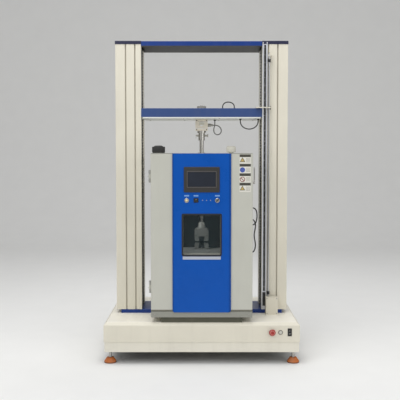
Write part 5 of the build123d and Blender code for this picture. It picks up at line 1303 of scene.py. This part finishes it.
def dress_nodes() -> None:
    """Gives every CAD node its finishes."""
    plain = {
        FRAME_STEEL: ("base_frame",), FOOT: ("foot_pads",), BLUE: ("worktable",), NAVY: ("column_caps",),
        STEEL: ("foot_studs", "door_button", "door_selector", "door_latch"),
        CREAM: ("column_profiles", "column_covers", "limit_arm", "limit_switch_box"), CHROME: ("guide_posts",),
        DARK_STEEL: ("screw_bearings", "upper_jaw_left", "upper_jaw_right", "lower_jaw_left", "lower_jaw_right"),
        TURNED_STEEL: ("ball_screw_left", "ball_screw_right", "holding_nut", "pin_coupling", "pull_rod"),
        MOTOR: ("servo_motor", "fan_motor"), ALLOY: ("motor_pulley", "fan_wheel"),
        RUBBER: ("drive_belt", "cable_bung"), DRAWN_STAINLESS: ("window_sill",), STAINLESS: ("drive_controller",),
        BRONZE: ("crosshead_bearings",), GRIP_STEEL: ("upper_grip", "lower_grip"), GLASS: ("window_glass",),
        # The chamber's plinth gets a dark grey of painted shade.
        WOOL: ("chamber_insulation",), SHADED_SKIRT_GREY: ("chamber_plinth",), RED: ("estop_button",),
        PLASTIC: ("window_frame", "door_rocker", "mains_rocker"), PALE_PLASTIC: ("run_button",),
    }
    for finish, nodes in plain.items():
        for node in nodes:
            dress(node, finish)
    # Painted shade: the back of the air guides, behind the slots, gets darkened stainless.
    dress("air_guides", FLOOR_STAINLESS, Zone((-0.28, 0.05, 0.691), (0.28, 0.11, 1.19), SHADED_STAINLESS))
    mains = Zone((0.5465, -0.4431, 0.184), (0.5735, -0.4401, 0.234), PLASTIC)
    # Painted light: the plinth band is a lighter cream than the cover above it.
    plinth = Zone((-0.64, -0.46, 0.07), (0.64, 0.46, 0.145), LIT_PLINTH_CREAM)
    # Painted light: the cover's top face is a lighter cream than its sides.
    dress("base_cover", CREAM, plinth, Zone((-0.62, -0.44, 0.2695), (0.62, 0.44, 0.2705), LIT_TOP_CREAM), mains)
    dress("scale_channel", CHANNEL_ALLOY, Zone((0.4389, -0.2, 1.9), (0.48, -0.13, 2.04), CREAM))
    dress("top_beam", BLUE, Zone((-0.6, -0.2, 2.05), (0.6, 0.2, 2.0621), BEAM_UNDER))
    upper = Zone((0.13, -0.08, 1.6491), (0.24, -0.05, 1.66), RUBBER)
    lower = Zone((0.08, -0.08, 1.57), (0.4, 0.06, 1.5819), RUBBER)
    # The crosshead's underside is a pale plate, also painted near white as painted light from the floor.
    dress("crosshead", HEAD_BLUE, Zone((-0.6, -0.2, 1.57), (0.6, 0.2, 1.5901), PALE_AND_LIT_UNDERSIDE), upper, lower)
    dress("load_cell", CELL, Zone((0.0421, -0.03, 1.5), (0.09, 0.03, 1.6), STEEL))
    # Painted shade: the kick panel below the door is a darker grey than the casing.
    kick = Zone((-0.33, -0.4401, 0.3), (0.33, -0.3656, 0.344), SHADED_KICK_GREY)
    dress("chamber_casing", GREY, Zone((0.3221, -0.3, 0.5), (0.4, 0.1, 1.2), PLASTIC), kick)
    dress("door_jamb", STAINLESS, Zone((-0.27, -0.3701, 0.6), (0.27, -0.3652, 1.22), GASKET))
    inner = Zone((-0.2621, -0.3704, 0.6119), (0.2621, -0.3695, 1.2081), STAINLESS)
    dress("chamber_door", GREY, inner)
    # Painted shade: the liner's back wall is darkened.
    back = Zone((-0.28, 0.09, 0.6), (0.28, 0.105, 1.3), SHADED_STAINLESS)
    dress("chamber_liner", STAINLESS, Zone((0.15, -0.2, 1.3471), (0.25, -0.1, 1.45), PALE_PLASTIC), back)
    # Painted shade: the fascia's two rolled edges are a darker blue.
    edges = (Zone((low, -0.5, 0.3), (low + 0.02, -0.4, 1.4), FASCIA_EDGE_SHADE) for low in (-0.196, 0.171))
    dress("fascia", FASCIA, *edges)
    dress("touch_panel", SCREEN_BEZEL, Zone((-0.0881, -0.46, 1.1359), (0.0881, -0.44, 1.2281), SCREEN))
    rod = (0.43, -0.19)
    dress("limit_rod", CHROME, *(Zone((*rod, z), (0.47, -0.14, z + 0.0202), DARK_STEEL) for z in (0.4019, 1.9489)))
    dress("control_bezels", STEEL, Zone((-0.06, -0.47, 1.0), (-0.01, -0.43, 1.1), PLASTIC))


def main() -> None:
    """Builds the scene in order: studio, cords, cloth, finishes, then the small parts."""
    Studio().build()
    Cables().build()
    Bellows().build()
    dress_nodes()
    for trim in (BaseTrim, ColumnTrim, CrossheadTrim, GripTrim, ChamberTrim, DoorTrim):
        trim().build()


if __name__ == "__main__":
    logging.basicConfig(level=logging.INFO, format="%(name)s: %(message)s")
    main()
